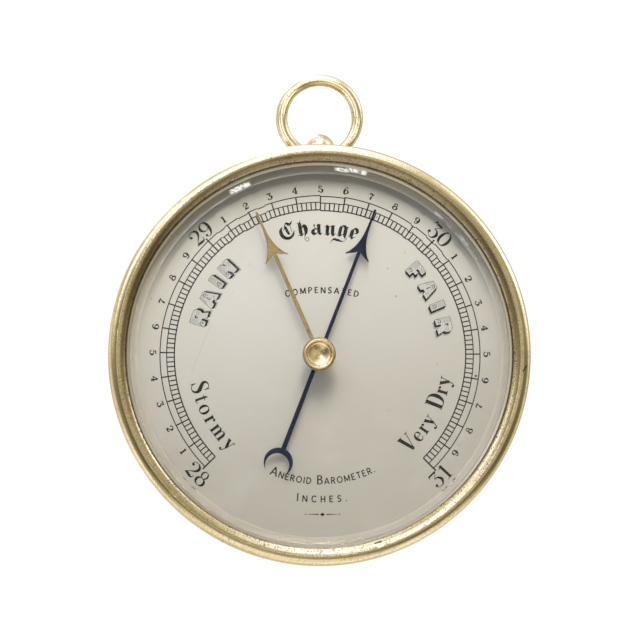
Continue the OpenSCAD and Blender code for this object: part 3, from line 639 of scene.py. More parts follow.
def draw_block_letter(line, shade, face, letter, angle, radius):
    """Grey face, a heavy line along its right and lower edges, a hairline outside those."""
    shape = BLOCK[letter]
    place = letter_place(math.radians(angle), radius, BLOCK_SIZE, shape["width"], drop=0.5)

    def moved(outline, distance=0.0):
        """The outline on the dial, moved right and down."""
        d = distance / BLOCK_SIZE
        return [place(x + d, y - d) for x, y in outline]

    def raised(height):
        return (BLOCK_FOOT, BLOCK_FOOT + height)

    outline, hole = shape["outline"], shape["hole"]
    line.ribbon(crisp_band(moved(outline, HAIRLINE_OUT), 0.10), raised(0.012), True)
    for k in range(1, 7):
        shade.prism(moved(outline, SHADE_DEPTH * k / 6), raised(0.016 + 0.0001 * k))
    face.prism(moved(outline), raised(0.022))
    line.ribbon(crisp_band(moved(outline), 0.11), raised(0.028), True)
    if hole:
        shade.prism(moved(hole), raised(0.024))
        mid_x = sum(p[0] for p in hole) / len(hole)
        mid_y = sum(p[1] for p in hole) / len(hole)
        shrunk = [((x - mid_x) * 0.55 + mid_x, (y - mid_y) * 0.55 + mid_y) for x, y in hole]
        face.prism(moved(shrunk, 0.12), raised(0.0245))

    # engraving on the face: fine lines and a small scroll between two dots
    left, right, left_step, right_step = shape["ruling"]
    rules = [(left + left_step * k, right + right_step * k, 0.52 + 0.055 * k) for k in range(9)]
    left, right, low = shape["ticks"]
    rules += [(left, right, low + 0.06 * k) for k in range(4)]
    for left, right, y in rules:
        line.ribbon([place(left, y) + (0.045,), place(right, y) + (0.045,)], raised(0.026))
    mid_x, mid_y = shape["scroll"]
    scroll = curve([(mid_x + x, mid_y + y, w) for x, y, w in SCROLL], 0.04)
    line.ribbon([place(x, y) + (0.17 * w + 0.05,) for x, y, w in scroll], raised(0.03))
    for dx, dy in ((-0.08, 0.16), (0.10, -0.16)):
        line.disc(*place(mid_x + dx, mid_y + dy), 0.12, raised(0.029), 10)


# ------------------------------------------------------------------ shader building
class Field:
    """One output of a shader node; sums and products of fields become math nodes."""

    def __init__(self, shading, node, output=0):
        self.shading = shading
        self.node = node
        self.output = output

    def other(self, output):
        """Another output of the same node."""
        return Field(self.shading, self.node, output)

    def __add__(self, value):
        return self.shading.math("ADD", self, value)

    def __sub__(self, value):
        return self.shading.math("SUBTRACT", self, value)

    def __rsub__(self, value):
        return self.shading.math("SUBTRACT", value, self)

    def __mul__(self, value):
        return self.shading.math("MULTIPLY", self, value)

    def scaled(self, gain, offset):
        return self.shading.math("MULTIPLY_ADD", self, gain, offset)

    def fade(self, zero, one):
        """0 where the field has the first value, 1 where it has the second, smooth between."""
        values = {"Value": self, "From Min": zero, "From Max": one}
        return self.shading.add("MapRange", values, interpolation_type="SMOOTHSTEP")


class Shading:
    """Adds nodes to an emptied node tree. spare fills the unused inputs of math nodes."""

    def __init__(self, tree, spare=()):
        self.tree = tree
        self.spare = spare
        tree.nodes.clear()

    def put(self, socket, value):
        if isinstance(value, Field):
            self.tree.links.new(value.node.outputs[value.output], socket)
        elif isinstance(value, tuple) and socket.type == "RGBA":
            socket.default_value = value + (1.0,)
        else:
            socket.default_value = value

    def add(self, kind, values=None, output=0, **settings):
        """A node with its settings and its inputs by name or place."""
        node = self.tree.nodes.new("ShaderNode" + kind)
        for key, value in settings.items():
            setattr(node, key, value)
        for key, value in (values or {}).items():
            self.put(node.inputs[key], value)
        return Field(self, node, output)

    def math(self, operation, *values, clamp=False):
        values = dict(zip(range(3), values + self.spare))
        return self.add("Math", values, operation=operation, use_clamp=clamp)

    def mix(self, share, first, second):
        """A mix of two colours."""
        return self.add("Mix", {0: share, 6: first, 7: second}, output=2, data_type="RGBA")

    def mix_shader(self, share, first, second):
        return self.add("MixShader", {0: share, 1: first, 2: second})

    def axes(self, vector):
        split = self.add("SeparateXYZ", {0: vector})
        return [split.other(k) for k in range(3)]


class Material(Shading):
    """A node material; lengths are millimetres in x right, y away from the viewer, z up."""

    def __init__(self, name):
        self.material = bpy.data.materials.new(name)
        self.material.use_nodes = True
        super().__init__(self.material.node_tree, spare=(0.0, 0.0))

    @cached_property
    def point(self):
        place = self.add("TexCoord", output="Object")
        return self.vector("SCALE", place, Scale=1000.0)

    @cached_property
    def xyz(self):
        return self.axes(self.point)

    def vector(self, operation, first, second=None, **named):
        values = {0: first, **named}
        if second is not None:
            values[1] = second
        output = "Value" if operation == "DOT_PRODUCT" else "Vector"
        return self.add("VectorMath", values, output, operation=operation)

    def plane(self, x, y):
        return self.add("CombineXYZ", {0: x, 1: y})

    def radius(self):
        """Distance from the dial's axis."""
        x, _, z = self.xyz
        return self.math("SQRT", self.math("POWER", x, 2.0) + self.math("POWER", z, 2.0))

    def turn(self):
        """Clock angle in radians."""
        x, _, z = self.xyz
        return self.math("ARCTAN2", x, z)

    def noise(self, scale, detail=3, rough=0.6, warp=0.0, at=None):
        values = {"Vector": at or self.point, "Scale": scale, "Detail": detail,
                  "Roughness": rough, "Distortion": warp}
        return self.add("TexNoise", values)

    def spots(self, scale, size, soft, at=None):
        """1 inside scattered spots with soft edges."""
        values = {"Vector": at or self.point, "Scale": scale}
        distance = self.add("TexVoronoi", values, output="Distance", feature="F1")
        return distance.fade(size + soft, size)

    def mark(self, start, half, soft, end=None):
        """1 in a dot, or along a straight mark, on the plane of the dial."""
        x, _, z = self.xyz
        x, z = x - start[0], z - start[1]
        if end:
            dx, dz = end[0] - start[0], end[1] - start[1]
            squared = dx * dx + dz * dz
            along = self.math("ADD", x * (dx / squared), z * (dz / squared), clamp=True)
            x, z = along.scaled(-dx, x), along.scaled(-dz, z)
        return self.math("SQRT", x * x + z * z).fade(half + soft, half)

    def bump(self, height, strength, depth, over=None):
        values = {"Strength": strength, "Distance": depth * MM, "Height": height}
        if over:
            values["Normal"] = over
        return self.add("Bump", values)

    def surface(self, **values):
        """A Principled shader, its inputs by name with _ for spaces."""
        return self.add("BsdfPrincipled", {k.replace("_", " "): v for k, v in values.items()})

    def finish(self, shader):
        self.add("OutputMaterial", {0: shader})
        return self.material


def toned(colour, *gains):
    """The colour with each channel multiplied; one gain serves all three."""
    gains = gains if len(gains) == 3 else gains * 3
    return tuple(c * gain for c, gain in zip(colour, gains))


# ------------------------------------------------------------------ metals
def bezel_wear(m, mid):
    """Masks on the bezel: radius, near the glass, away from the highlight at the upper left, lip,
    and tarnish with painted shade.
    """
    _, _, z = m.xyz
    radius = m.radius()
    # tarnish gathers towards the glass; its growth towards the top is painted shade
    near = radius.fade(61.4, 58.6)
    tarnish_and_shade = near * z.fade(-45.0, 60.0).scaled(0.70, 0.22) * mid.scaled(1.0, 0.45)
    # at the upper left the roll catches a highlight; the painted shade and tarnish are left off
    # there
    turn = m.turn() * (180 / math.pi)
    highlight_zone = m.math("ABSOLUTE", turn + 30.0).fade(24.0, 7.0) * radius.fade(58.9, 59.5)
    off_highlight = highlight_zone.scaled(-0.9, 1.0)
    lip = radius.fade(57.92, 57.84)
    return radius, near, off_highlight, lip, tarnish_and_shade * off_highlight


def bezel_stains(m, colour, radius, off_highlight, lip):
    """Painted shade on the roll towards the top, a pale lip over the glass with painted shade at
    the bottom, painted shade in the groove behind it, and two nicks.
    """
    _, y, z = m.xyz
    # painted shade: the inside of the roll is darkened towards the top
    painted_top_shade = radius.fade(60.9, 59.6) * z.fade(8.0, 44.0) * off_highlight
    colour = m.mix(painted_top_shade * 0.72, colour, (0.24, 0.185, 0.085))
    colour = m.mix(lip, colour, (0.64, 0.57, 0.37))
    # painted shade: the lip is darker towards the bottom
    colour = m.mix(lip * z.fade(-25.0, -50.0), colour, (0.40, 0.34, 0.20))
    # painted shade in the groove behind the lip, left off at the bottom
    groove = radius.fade(57.82, 57.90) * radius.fade(58.36, 58.22) * z.fade(-50.0, -30.0)
    colour = m.mix(groove * 0.75, colour, (0.13, 0.105, 0.055))
    right_nick = m.mark((61.0, -5.1), half=0.13, soft=0.12, end=(62.1, -3.5))
    lower_nick = m.mark((16.6, -56.6), half=0.16, soft=0.25, end=(18.4, -56.1))
    nicks = m.math("MAXIMUM", right_nick, lower_nick) * y.fade(-44.0, -45.2)
    return m.mix(nicks * 0.9, colour, (0.06, 0.045, 0.02))


def brass(name, base, dark, rough, speck, cloud, turned=0.0, grain=None, coat=0.0, wave=0.25,
          bezel=False):
    """Aged metal.

    speck and cloud are the amounts of grit and pits and of tarnish, turned the fineness of lathe
    lines, grain the stretch of brushed lines, wave the scale of the dents, bezel its own wear
    and painted shade.
    """
    m = Material(name)
    mid = m.noise(0.55, detail=4, warp=0.4)
    fine = m.noise(2.6)
    dirt_and_shade = m.noise(0.07).fade(0.35, 0.75) * cloud + mid.fade(0.5, 0.8) * (cloud * 0.8)
    pits = m.spots(1.45, size=0.25, soft=0.15) * m.noise(0.45).fade(0.42, 0.54)
    grit = fine.fade(0.52, 0.68)
    if bezel:
        radius, near, off_highlight, lip, tarnish_and_shade = bezel_wear(m, mid)
        off_lip = 1.0 - lip
        # on the bezel, tarnish near the glass and painted shade towards the top join the dirt
        dirt_and_shade = dirt_and_shade + tarnish_and_shade
        speckle = near.scaled(0.55, 0.45)
        pits = pits * speckle * off_lip
        grit = grit * speckle * off_lip
    dirt_and_shade = m.math("MINIMUM", dirt_and_shade, 1.0, clamp=True)
    colour = m.mix(dirt_and_shade, base, dark)
    if bezel:
        colour = bezel_stains(m, colour, radius, off_highlight, lip)
    colour = m.mix(grit * (0.75 * speck), colour, toned(dark, 0.80, 0.72, 0.55))
    colour = m.mix(pits * min(1.0, 0.85 * speck), colour, toned(dark, 0.38))

    roughness = dirt_and_shade.scaled(0.16, rough)
    roughness = grit.scaled(0.10 * speck, roughness)
    roughness = pits.scaled(0.35, roughness)
    if bezel:
        roughness = lip.scaled(0.28, roughness)

    normal = m.bump(m.noise(wave, detail=2, rough=0.5), strength=0.35, depth=0.10)
    normal = m.bump(fine - pits * 0.9, strength=0.22 * speck + 0.05, depth=0.035, over=normal)
    if turned:
        lines = m.noise(1.0, at=m.plane(m.radius() * turned, m.xyz[1] * turned))
        normal = m.bump(lines, strength=0.25, depth=0.03, over=normal)
    if grain:
        brushed = m.vector("MULTIPLY", m.point, grain)
        lines = m.noise(1.0, rough=0.7, at=brushed)
        normal = m.bump(lines, strength=0.35, depth=0.03, over=normal)
        roughness = m.noise(1.0, rough=0.7, at=brushed).scaled(0.16, roughness)
    return m.finish(m.surface(Base_Color=colour, Metallic=1.0, Roughness=roughness,
                              Normal=normal, Coat_Weight=coat, Coat_Roughness=0.12))


def steel(name, base, rough, blued=False):
    """Steel with fine lines along x; blued steel is stained darker and bluer."""
    m = Material(name)
    lines = m.noise(1.0, rough=0.65, at=m.vector("MULTIPLY", m.point, (0.6, 9.0, 9.0)))
    fine = m.noise(3.4)
    stain = (0.020, 0.019, 0.021) if blued else toned(toned(base, 0.55), 1.0, 0.86, 0.70)
    colour = m.mix(m.noise(0.35).fade(0.5, 0.8) * 0.5, base, stain)
    colour = m.mix(fine.fade(0.58, 0.75) * 0.35, colour, toned(base, 0.6))
    if blued:
        colour = m.mix(m.noise(0.9).fade(0.5, 0.72) * 0.4, colour, (0.012, 0.020, 0.055))
    normal = m.bump(lines, strength=0.25, depth=0.02)
    normal = m.bump(fine, strength=0.15, depth=0.02, over=normal)
    return m.finish(m.surface(Base_Color=colour, Metallic=1.0,
                              Roughness=lines.scaled(0.18, rough), Normal=normal))


# ------------------------------------------------------------------ dial materials
# single marks on the silver: (x, z), half width, colour, strength
DIAL_SPECKS = [
    ((-8.6, 52.2), 0.13, (0.13, 0.11, 0.09), 0.8), ((-6.9, 51.8), 0.10, (0.13, 0.11, 0.09), 0.7),
    ((-46.2, 19.3), 0.12, (0.15, 0.13, 0.11), 0.6), ((-24.0, 30.4), 0.14, (0.15, 0.13, 0.11), 0.7),
    ((23.2, 18.2), 0.20, (0.16, 0.11, 0.08), 0.8), ((25.8, 31.3), 0.24, (0.42, 0.34, 0.06), 0.8),
    ((47.2, -6.0), 0.30, (0.02, 0.02, 0.02), 0.95), ((-29.5, 37.0), 0.16, (0.20, 0.17, 0.13), 0.5),
    ((12.5, -22.0), 0.12, (0.20, 0.17, 0.13), 0.5), ((7.6, 13.6), 0.12, (0.16, 0.14, 0.12), 0.6),
    ((-14.0, -22.5), 0.12, (0.18, 0.16, 0.14), 0.5),
]


def silvered():
    """Matt silver, paler to the upper left as painted light, clouded and specked."""
    m = Material("silvered_dial_matt")
    radius = m.radius()
    # painted light: paler towards the upper left, darker towards the lower right
    painted_light_slope = m.vector("DOT_PRODUCT", m.point, (-0.25, 0.0, 0.97)).fade(-42.0, 48.0)
    colour = m.mix(painted_light_slope, (0.350, 0.309, 0.232), (0.525, 0.473, 0.384))
    cloud = m.noise(0.055, detail=4, warp=0.3).fade(0.45, 0.8)
    colour = m.mix(cloud * 0.30, colour, (0.49, 0.445, 0.365))
    bloom = m.noise(0.30)
    colour = m.mix(bloom.fade(0.52, 0.8) * 0.10, colour, (0.47, 0.43, 0.36))
    # small dark specks, and fewer yellow ones
    shifted = m.vector("ADD", m.point, (40.0, 11.0, 7.0))
    some = m.noise(0.11, detail=2, rough=0.5, at=shifted).fade(0.47, 0.50)
    dark = m.spots(0.16, size=0.025, soft=0.022) * some
    colour = m.mix(dark * 0.75, colour, (0.17, 0.15, 0.12))
    shifted = m.vector("ADD", m.point, (-13.0, 5.0, 31.0))
    yellow = m.spots(0.075, size=0.016, soft=0.012, at=shifted)
    colour = m.mix(yellow * 0.75, colour, (0.46, 0.33, 0.07))
    # tarnish creeping in from the edge
    edge = radius.fade(52.0, 60.0) * bloom.scaled(0.8, 0.1)
    colour = m.mix(edge * 0.45, colour, (0.44, 0.39, 0.30))
    # painted shadow of the bezel: a darker band under the upper edge
    band = radius.fade(52.7, 53.7) * m.xyz[2].fade(14.0, 38.0)
    colour = m.mix(band * 0.55, colour, (0.20, 0.18, 0.145))
    # the silver is rubbed on in circles; a long scratch crosses it
    rub = m.noise(1.0, detail=4, rough=0.65, at=m.plane(radius * 2.2, m.turn() * 3.0))
    colour = m.mix(rub.fade(0.35, 0.75) * 0.06, colour, (0.47, 0.44, 0.37))
    scratch = m.mark((-32.4, 10.2), half=0.05, soft=0.13, end=(-38.6, -4.8))
    scratch = scratch * bloom.scaled(0.9, 0.15)
    colour = m.mix(scratch * 0.5, colour, (0.22, 0.20, 0.17))
    for place, half, tint, strength in DIAL_SPECKS:
        colour = m.mix(m.mark(place, half, soft=0.12) * strength, colour, tint)
    normal = m.bump(rub, strength=0.12, depth=0.02)
    normal = m.bump(m.noise(5.0), strength=0.15, depth=0.012, over=normal)
    return m.finish(m.surface(Base_Color=colour, Metallic=0.22,
                              Roughness=rub.scaled(0.16, 0.44), Normal=normal))


def wax(name, ink, faded, share):
    """Black wax, worn in places; share is how far the worn places fade."""
    m = Material(name)
    worn = m.noise(1.4, detail=4, rough=0.65).fade(0.52, 0.80)
    colour = m.mix(worn * share, ink, faded)
    cloud = m.noise(0.12, detail=2, rough=0.5).fade(0.45, 0.75)
    colour = m.mix(cloud * 0.25, colour, faded)
    return m.finish(m.surface(Base_Color=colour, Roughness=worn.scaled(0.2, 0.55),
                              Specular_IOR_Level=0.15,
                              Normal=m.bump(m.noise(6.0), strength=0.3, depth=0.01)))


def ruled_grey():
    """The ruled grey of an engraved letter's face."""
    m = Material("ruled_grey")
    # the zero-length shift leaves the pattern in place
    place = m.vector("ADD", m.point, m.vector("SCALE", m.point, Scale=0.0))
    lines = m.add("TexWave",
                  {"Vector": place, "Scale": 0.55, "Distortion": 1.2, "Detail": 1.0},
                  output=1, wave_type="BANDS", bands_direction="X")
    colour = m.mix(lines, (0.35, 0.32, 0.262), (0.50, 0.455, 0.375))
    colour = m.mix(m.noise(0.8) * 0.3, colour, (0.43, 0.39, 0.32))
    return m.finish(m.surface(Base_Color=colour, Roughness=0.5, Metallic=0.1,
                              Normal=m.bump(lines, strength=0.3, depth=0.01)))


# ------------------------------------------------------------------ glass and black materials
# painted glints, white glowing spots on the bevel: clock angle, half width in degrees, inner and
# outer radius, strength
PAINTED_GLINTS = [
    (-25.4, 3.4, 55.1, 56.4, 1.0), (6.9, 2.0, 55.6, 56.7, 1.0), (11.4, 3.2, 55.9, 57.1, 0.9),
    (40.5, 1.6, 55.0, 55.5, 0.35), (51.5, 2.0, 55.2, 55.7, 0.30),
]


def glass_flashes(m, radius, degrees):
    """Painted glints: streaky glowing spots on the bevel at the top, the upper left and the upper
    right.
    """
    strip = m.plane(degrees * 1.25, radius.scaled(2.0, degrees * 0.8))
    glint_streaks = m.noise(0.62, detail=2, rough=0.5, warp=0.6, at=strip)
    glint_mask = None
    for middle, half, inner, outer, strength in PAINTED_GLINTS:
        away = m.math("ABSOLUTE", degrees - middle)
        band = radius.fade(inner - 0.15, inner + 0.15) * radius.fade(outer + 0.15, outer - 0.15)
        # each spot of painted glint
        chip = away.fade(half + 0.5, half - 0.8) * band * strength
        glint_mask = m.math("MAXIMUM", glint_mask, chip) if glint_mask else chip
    return glint_mask * glint_streaks.fade(0.40, 0.58).scaled(0.85, 0.15)


def clear_glass():
    """Slightly smeared glass with a ground bevel and painted glints that glow; light passes it
    without refraction.
    """
    m = Material("bevelled_glass")
    refractive_index = 1.5
    radius = m.radius()
    degrees = m.turn() * (180 / math.pi)
    smear = m.noise(0.16, detail=4, warp=0.8)
    dust = m.spots(0.42, size=0.016, soft=0.014)
    bevel = radius.fade(54.6, 54.95)
    # the worn edge where flat and bevel meet
    arris = radius.fade(54.68, 54.84) * radius.fade(55.12, 54.94)
    normal = m.bump(m.noise(0.045, detail=2, rough=0.5), strength=0.10, depth=0.10)
    through = m.add("BsdfRefraction", {
        "IOR": refractive_index, "Roughness": 0.0, "Normal": normal,
        "Color": m.mix(bevel, (0.985, 0.990, 0.980), (0.955, 0.945, 0.895))})
    mirror = m.add("BsdfGlossy", {
        "Roughness": smear.fade(0.5, 0.85).scaled(0.05, bevel * 0.10),
        "Normal": normal, "Color": (1.0, 0.91, 0.58)})
    # the ground bevel and its worn edge shine more than the flat
    gain = (bevel * m.xyz[2].fade(-50.0, -15.0)).scaled(1.8, bevel.scaled(0.1, 0.28))
    gain = arris.scaled(1.2, gain)
    cloudy = m.noise(0.9, at=m.vector("MULTIPLY", m.point, (1.0, 1.0, 1.0)))
    gain = gain * cloudy.scaled(0.9, 0.55)
    fresnel = m.add("Fresnel", {0: refractive_index})
    body = m.mix_shader(m.math("MULTIPLY", fresnel, gain, clamp=True), through, mirror)
    film = m.surface(Base_Color=(0.80, 0.79, 0.75), Roughness=0.6)
    haze = smear.fade(0.55, 0.9) * 0.006 + dust * 0.05 + bevel * 0.03 + arris * 0.06
    veiled = m.mix_shader(haze, body, film)
    # painted glints: a white glow on a few spots of the bevel
    glint_glow = m.add("Emission", {"Color": (1.0, 0.99, 0.96), "Strength": 1.0})
    with_glints = m.mix_shader(glass_flashes(m, radius, degrees) * 0.9, veiled, glint_glow)
    clear = m.add("BsdfTransparent", {0: (0.97, 0.98, 0.97)})
    shadow = m.add("LightPath", output="Is Shadow Ray")
    passing = m.math("MAXIMUM", shadow, shadow.other("Is Diffuse Ray"))
    return m.finish(m.mix_shader(passing, with_glints, clear))


def black_japan():
    m = Material("black_japan")
    peel = m.noise(1.6)
    chips = m.spots(0.30, size=0.10, soft=0.05)
    colour = m.mix(m.noise(0.2).fade(0.4, 0.8), (0.014, 0.013, 0.013), (0.035, 0.031, 0.028))
    colour = m.mix(chips * 0.6, colour, (0.11, 0.085, 0.06))
    return m.finish(m.surface(Base_Color=colour, Roughness=peel.scaled(0.25, 0.22),
                              Normal=m.bump(peel, strength=0.4, depth=0.05)))


# ------------------------------------------------------------------ the materials
BRASS = (0.760, 0.610, 0.290)
BRASS_DARK = (0.330, 0.235, 0.085)
mats = {
    "bezel": brass("bezel_brass", BRASS, BRASS_DARK, rough=0.11, speck=1.0, cloud=0.22,
                   turned=1.1, coat=0.35, bezel=True),
    "case_brass": brass("aged_brass", BRASS, BRASS_DARK, rough=0.14, speck=0.35, cloud=0.30,
                        coat=0.35),
    "drum": brass("lacquered_brass", (0.46, 0.355, 0.155), (0.20, 0.140, 0.055), rough=0.24,
                  speck=0.5, cloud=0.45, coat=0.30),
    "knob": brass("gilt_brass_turned", (0.86, 0.68, 0.32), (0.42, 0.30, 0.12), rough=0.13,
                  speck=0.3, cloud=0.15, turned=2.4, coat=0.35, wave=0.5),
    "knurl_shade_and_dirt": brass("knurl_shade_and_dirt", (0.40, 0.28, 0.11), (0.16, 0.11, 0.04), rough=0.36,
                        speck=0.5, cloud=0.3),
    "set_hand": brass("hand_brass", (0.33, 0.235, 0.082), (0.21, 0.150, 0.058), rough=0.34,
                      speck=0.8, cloud=0.35),
    "gilt_brass": brass("gilt_brass", (0.78, 0.60, 0.26), (0.42, 0.29, 0.10), rough=0.22,
                        speck=0.3, cloud=0.25),
    "movement_brass": brass("movement_brass", (0.72, 0.55, 0.25), (0.42, 0.29, 0.11),
                            rough=0.30, speck=0.35, cloud=0.30, grain=(0.35, 8.0, 8.0)),
    "blued_steel": steel("blued_steel", (0.016, 0.021, 0.042), rough=0.26, blued=True),
    "bright_steel": steel("bright_steel", (0.56, 0.57, 0.58), rough=0.24),
    "german_silver": brass("spun_nickel_silver", (0.60, 0.585, 0.53), (0.36, 0.33, 0.27),
                           rough=0.26, speck=0.3, cloud=0.25, turned=3.0),
    "black_iron": black_japan(),
    "glass": clear_glass(),
    "silvered_dial": silvered(),
}
ink = wax("black_wax", ink=(0.005, 0.005, 0.004), faded=(0.04, 0.036, 0.030), share=0.22)
ink_fine = wax("black_wax_fine", ink=(0.006, 0.006, 0.005), faded=(0.05, 0.045, 0.038),
               share=0.30)
grey_face = ruled_grey()


def dress_cad_pieces():
    """Gives every CAD piece the material its own one is named after."""
    for name, piece in nodes.items():
        for slot in piece.material_slots:
            key = slot.material.name.split(".")[0] if slot.material else "bright_steel"
            if name == "case_body":
                key = "drum"
            slot.material = mats.get(key, mats["bright_steel"])


# ------------------------------------------------------------------ bezel
BEZEL_SIDES = 1080
CREST_R = BEZEL_R - ROLL_R
INNER_ROLL_R = 3.4
INNER_ROLL_REACH = 46.8  # degrees from the crest towards the glass
# (radius, z) below the roll: a small neck, the skirt that grips the case and a step inside it
BEZEL_SKIRT = [
    (61.52, 41.72), (61.38, 41.35), (61.35, 40.9), (61.35, 38.0), (61.35, BEZEL_BOTTOM + 0.25),
    (61.22, BEZEL_BOTTOM + 0.04), (61.05, BEZEL_BOTTOM), (60.45, BEZEL_BOTTOM),
    (60.30, BEZEL_BOTTOM + 0.08), (60.25, BEZEL_BOTTOM + 0.3),
    (60.25, 38.5), (60.75, 38.5), (60.75, 39.6), (60.25, 39.6), (60.25, 42.18),
]
# (radius, z) of the lip over the glass and the narrow groove behind it
BEZEL_LIP = [
    (57.30, 42.18), (57.18, 42.30), (57.14, 42.50), (57.20, 42.72), (57.34, 42.86),
    (57.52, 42.92), (57.70, 42.92), (57.82, 42.98), (57.88, 43.20), (57.92, 44.70),
    (57.96, 44.84), (58.04, 44.90), (58.14, 44.90), (58.22, 44.98), (58.27, 45.15),
    (58.30, BEZEL_TOP - 1.34),
]
# clock angle, radius, depth, size
BEZEL_DENTS = [
    (162.9, 59.6, 0.14, 0.9), (318.0, 61.8, 0.07, 0.7), (226.0, 60.1, 0.08, 0.8),
    (40.0, 62.2, 0.06, 0.6), (201.0, 61.4, 0.05, 0.9), (277.0, 60.2, 0.05, 1.1),
    (352.0, 60.0, 0.05, 0.8),
]


def wobble(angle, seed, terms):
    """A smooth wobble round a circle, about -1 to 1, the same every run."""
    draws = random.Random(seed)
    total = 0.0
    for k in range(1, terms + 1):
        height = draws.uniform(-1, 1)
        total += height * math.sin(k * angle + draws.uniform(0, 6.283)) / (1 + 0.35 * k)
    return total * 0.6


def add_bezel():
    # the half-round roll, from the glass side over the crest to the outside
    profile = [(58.24, BEZEL_TOP - 1.24), (58.235, BEZEL_TOP - 1.14)]
    for i in range(19):
        a = math.radians(INNER_ROLL_REACH * (1 - i / 18))
        profile.append((CREST_R - INNER_ROLL_R * math.sin(a),
                        BEZEL_TOP - INNER_ROLL_R * (1 - math.cos(a))))
    for i in range(1, 25):
        a = math.radians(90 - i * 7.05)
        profile.append((CREST_R + ROLL_R * math.cos(a), ROLL_Z + ROLL_R * math.sin(a)))
    profile += BEZEL_SKIRT + BEZEL_LIP

    angles = [FULL_TURN * i / BEZEL_SIDES for i in range(BEZEL_SIDES)]
    lift = [0.014 * wobble(a, seed=3, terms=7) for a in angles]
    swell = [0.012 * wobble(a, seed=4, terms=9) for a in angles]

    def bend(station, r, z, angle):
        """The roll wavers a little and has a few dents."""
        if z <= 41.9 or r <= 58.1:
            return r, z
        i = round(angle / FULL_TURN * BEZEL_SIDES) % BEZEL_SIDES
        share = min(1.0, (z - 41.9) / 2.0)
        r += (swell[i] - 0.012) * share if r > CREST_R else swell[i] * share * 0.5
        z += (lift[i] - 0.014) * share
        for dent_angle, dent_r, depth, size in BEZEL_DENTS:
            away = math.hypot(angle_from(angle, dent_angle) * 60, r - dent_r)
            if away < 3 * size:
                push = depth * math.exp(-((away / size) ** 2))
                dr, dz = r - CREST_R, z - ROLL_Z
                length = math.hypot(dr, dz) or 1.0
                r -= dr / length * push
                z -= dz / length * push
        return r, z

    solid = Solid()
    solid.lathe(profile, BEZEL_SIDES, bend)
    stand_in(solid.build("bezel_spun", [mats["bezel"]], smooth=40), "case", "bezel")


# ------------------------------------------------------------------ glass
# clock angle, depth, size
GLASS_CHIPS = [
    (331.0, 0.40, 1.6), (338.5, 0.30, 1.2), (6.0, 0.35, 2.2), (2.0, 0.30, 1.3),
    (322.0, 0.20, 1.5), (44.0, 0.30, 1.6), (52.0, 0.22, 1.2), (36.0, 0.2, 1.0),
]


def add_glass():
    bottom, top = cad_z("glass")
    rim = cad_radius("glass")
    hole = 1.87
    profile = [
        (hole, bottom + 0.12), (hole + 0.12, bottom),
        (rim - 0.25, bottom), (rim - 0.06, bottom + 0.07), (rim, bottom + 0.25),
        (rim, top - 2.25), (rim - 0.05, top - 2.17),
    ]
    # the bevel, from its outer edge up to the flat
    bevel_foot = len(profile)
    profile += [(rim - 0.2, top - 2.10), (55.05, top - 0.080), (54.90, top - 0.022)]
    bevel_end = len(profile)
    profile += [(54.72, top), (hole + 0.12, top), (hole, top - 0.12)]

    def bend(station, r, z, angle):
        """Chips along both edges of the bevel."""
        if bevel_foot <= station < bevel_end:
            chip = 0.0
            for chip_angle, depth, size in GLASS_CHIPS:
                away = angle_from(angle, chip_angle) * 57
                chip += depth * math.exp(-((away / size) ** 2)) * (0.6 + 0.4 * math.sin(away * 7))
            if station == bevel_foot:
                z -= 0.25 * chip
            else:
                r -= 0.8 * chip
                z -= 0.10 * chip
        return r, z

    solid = Solid()
    solid.lathe(profile, 1440, bend)
    stand_in(solid.build("glass_bevelled", [mats["glass"]], smooth=9), "case", "glass")


# ------------------------------------------------------------------ dial
DIAL_THICK = 0.9
FOOT_SIDES = 24
# the scale: 28 to 31 inches, a division every 0.02 inch
SCALE_START = -135
INCH = 90
DIVISION = INCH / 50
RING_OUT, RING_MID, RING_IN = 48.25, 46.23, 43.93
# the divisions were struck from a centre of their own, turned a little
STRIKE_SHIFT = (-0.12, 0.53)
STRIKE_TURN = 0.30
# blackletter "Change": letter, arc position of its middle, height, width factor
CHANGE = [
    ("C", -9.5, 4.95, 1.12), ("h", -5.1, 5.55, 0.98), ("a", -0.97, 5.55, 1.0),
    ("n", 2.97, 5.55, 1.0), ("g", 6.65, 5.55, 1.0), ("e", 9.85, 5.55, 0.95),
]
CHANGE_R = 36.35
# the flourish under the g: x, y from the ring centre, width
SWASH = [
    (3.0634, 33.9703, 0.10), (3.5487, 34.7589, 0.22), (4.2766, 35.2442, 0.62),
    (5.1259, 34.9712, 0.72), (5.8841, 34.5769, 0.60), (6.5817, 34.3949, 0.30),
    (7.3703, 34.5162, 0.12), (8.0073, 35.0622, 0.10), (7.9163, 35.7295, 0.10),
    (7.2490, 36.0934, 0.10),
]


def add_dial_plate():
    rim, top = cad_radius("dial"), DIAL_TOP
    bottom = top - DIAL_THICK
    solid = Solid()
    solid.lathe([
        (2.2, bottom + 0.05), (2.25, bottom), (rim - 0.1, bottom), (rim, bottom + 0.08),
        (rim, top - 0.12), (rim - 0.12, top), (40.0, top), (20.0, top), (2.32, top),
        (2.2, top - 0.1),
    ], 360)
    # three feet soldered under the plate, one in each pillar
    n = FOOT_SIDES
    for x, y in ((43.3, 7.6), (-43.3, 7.6), (0.0, -45.2)):
        verts = []
        for radius, z in ((0.85, DIAL_FEET), (1.0, DIAL_FEET + 0.15), (1.0, bottom + 0.2)):
            verts += [(px, py, z) for px, py in circle(x, y, radius, n)]
        ends = [tuple(range(n)), tuple(range(2 * n, 3 * n))[::-1]]
        solid.add(verts, ends + side_quads(0, n, n) + side_quads(n, 2 * n, n))
    plate = solid.build("dial_plate", [mats["silvered_dial"]], smooth=30)
    stand_in(plate, "case", "dial")


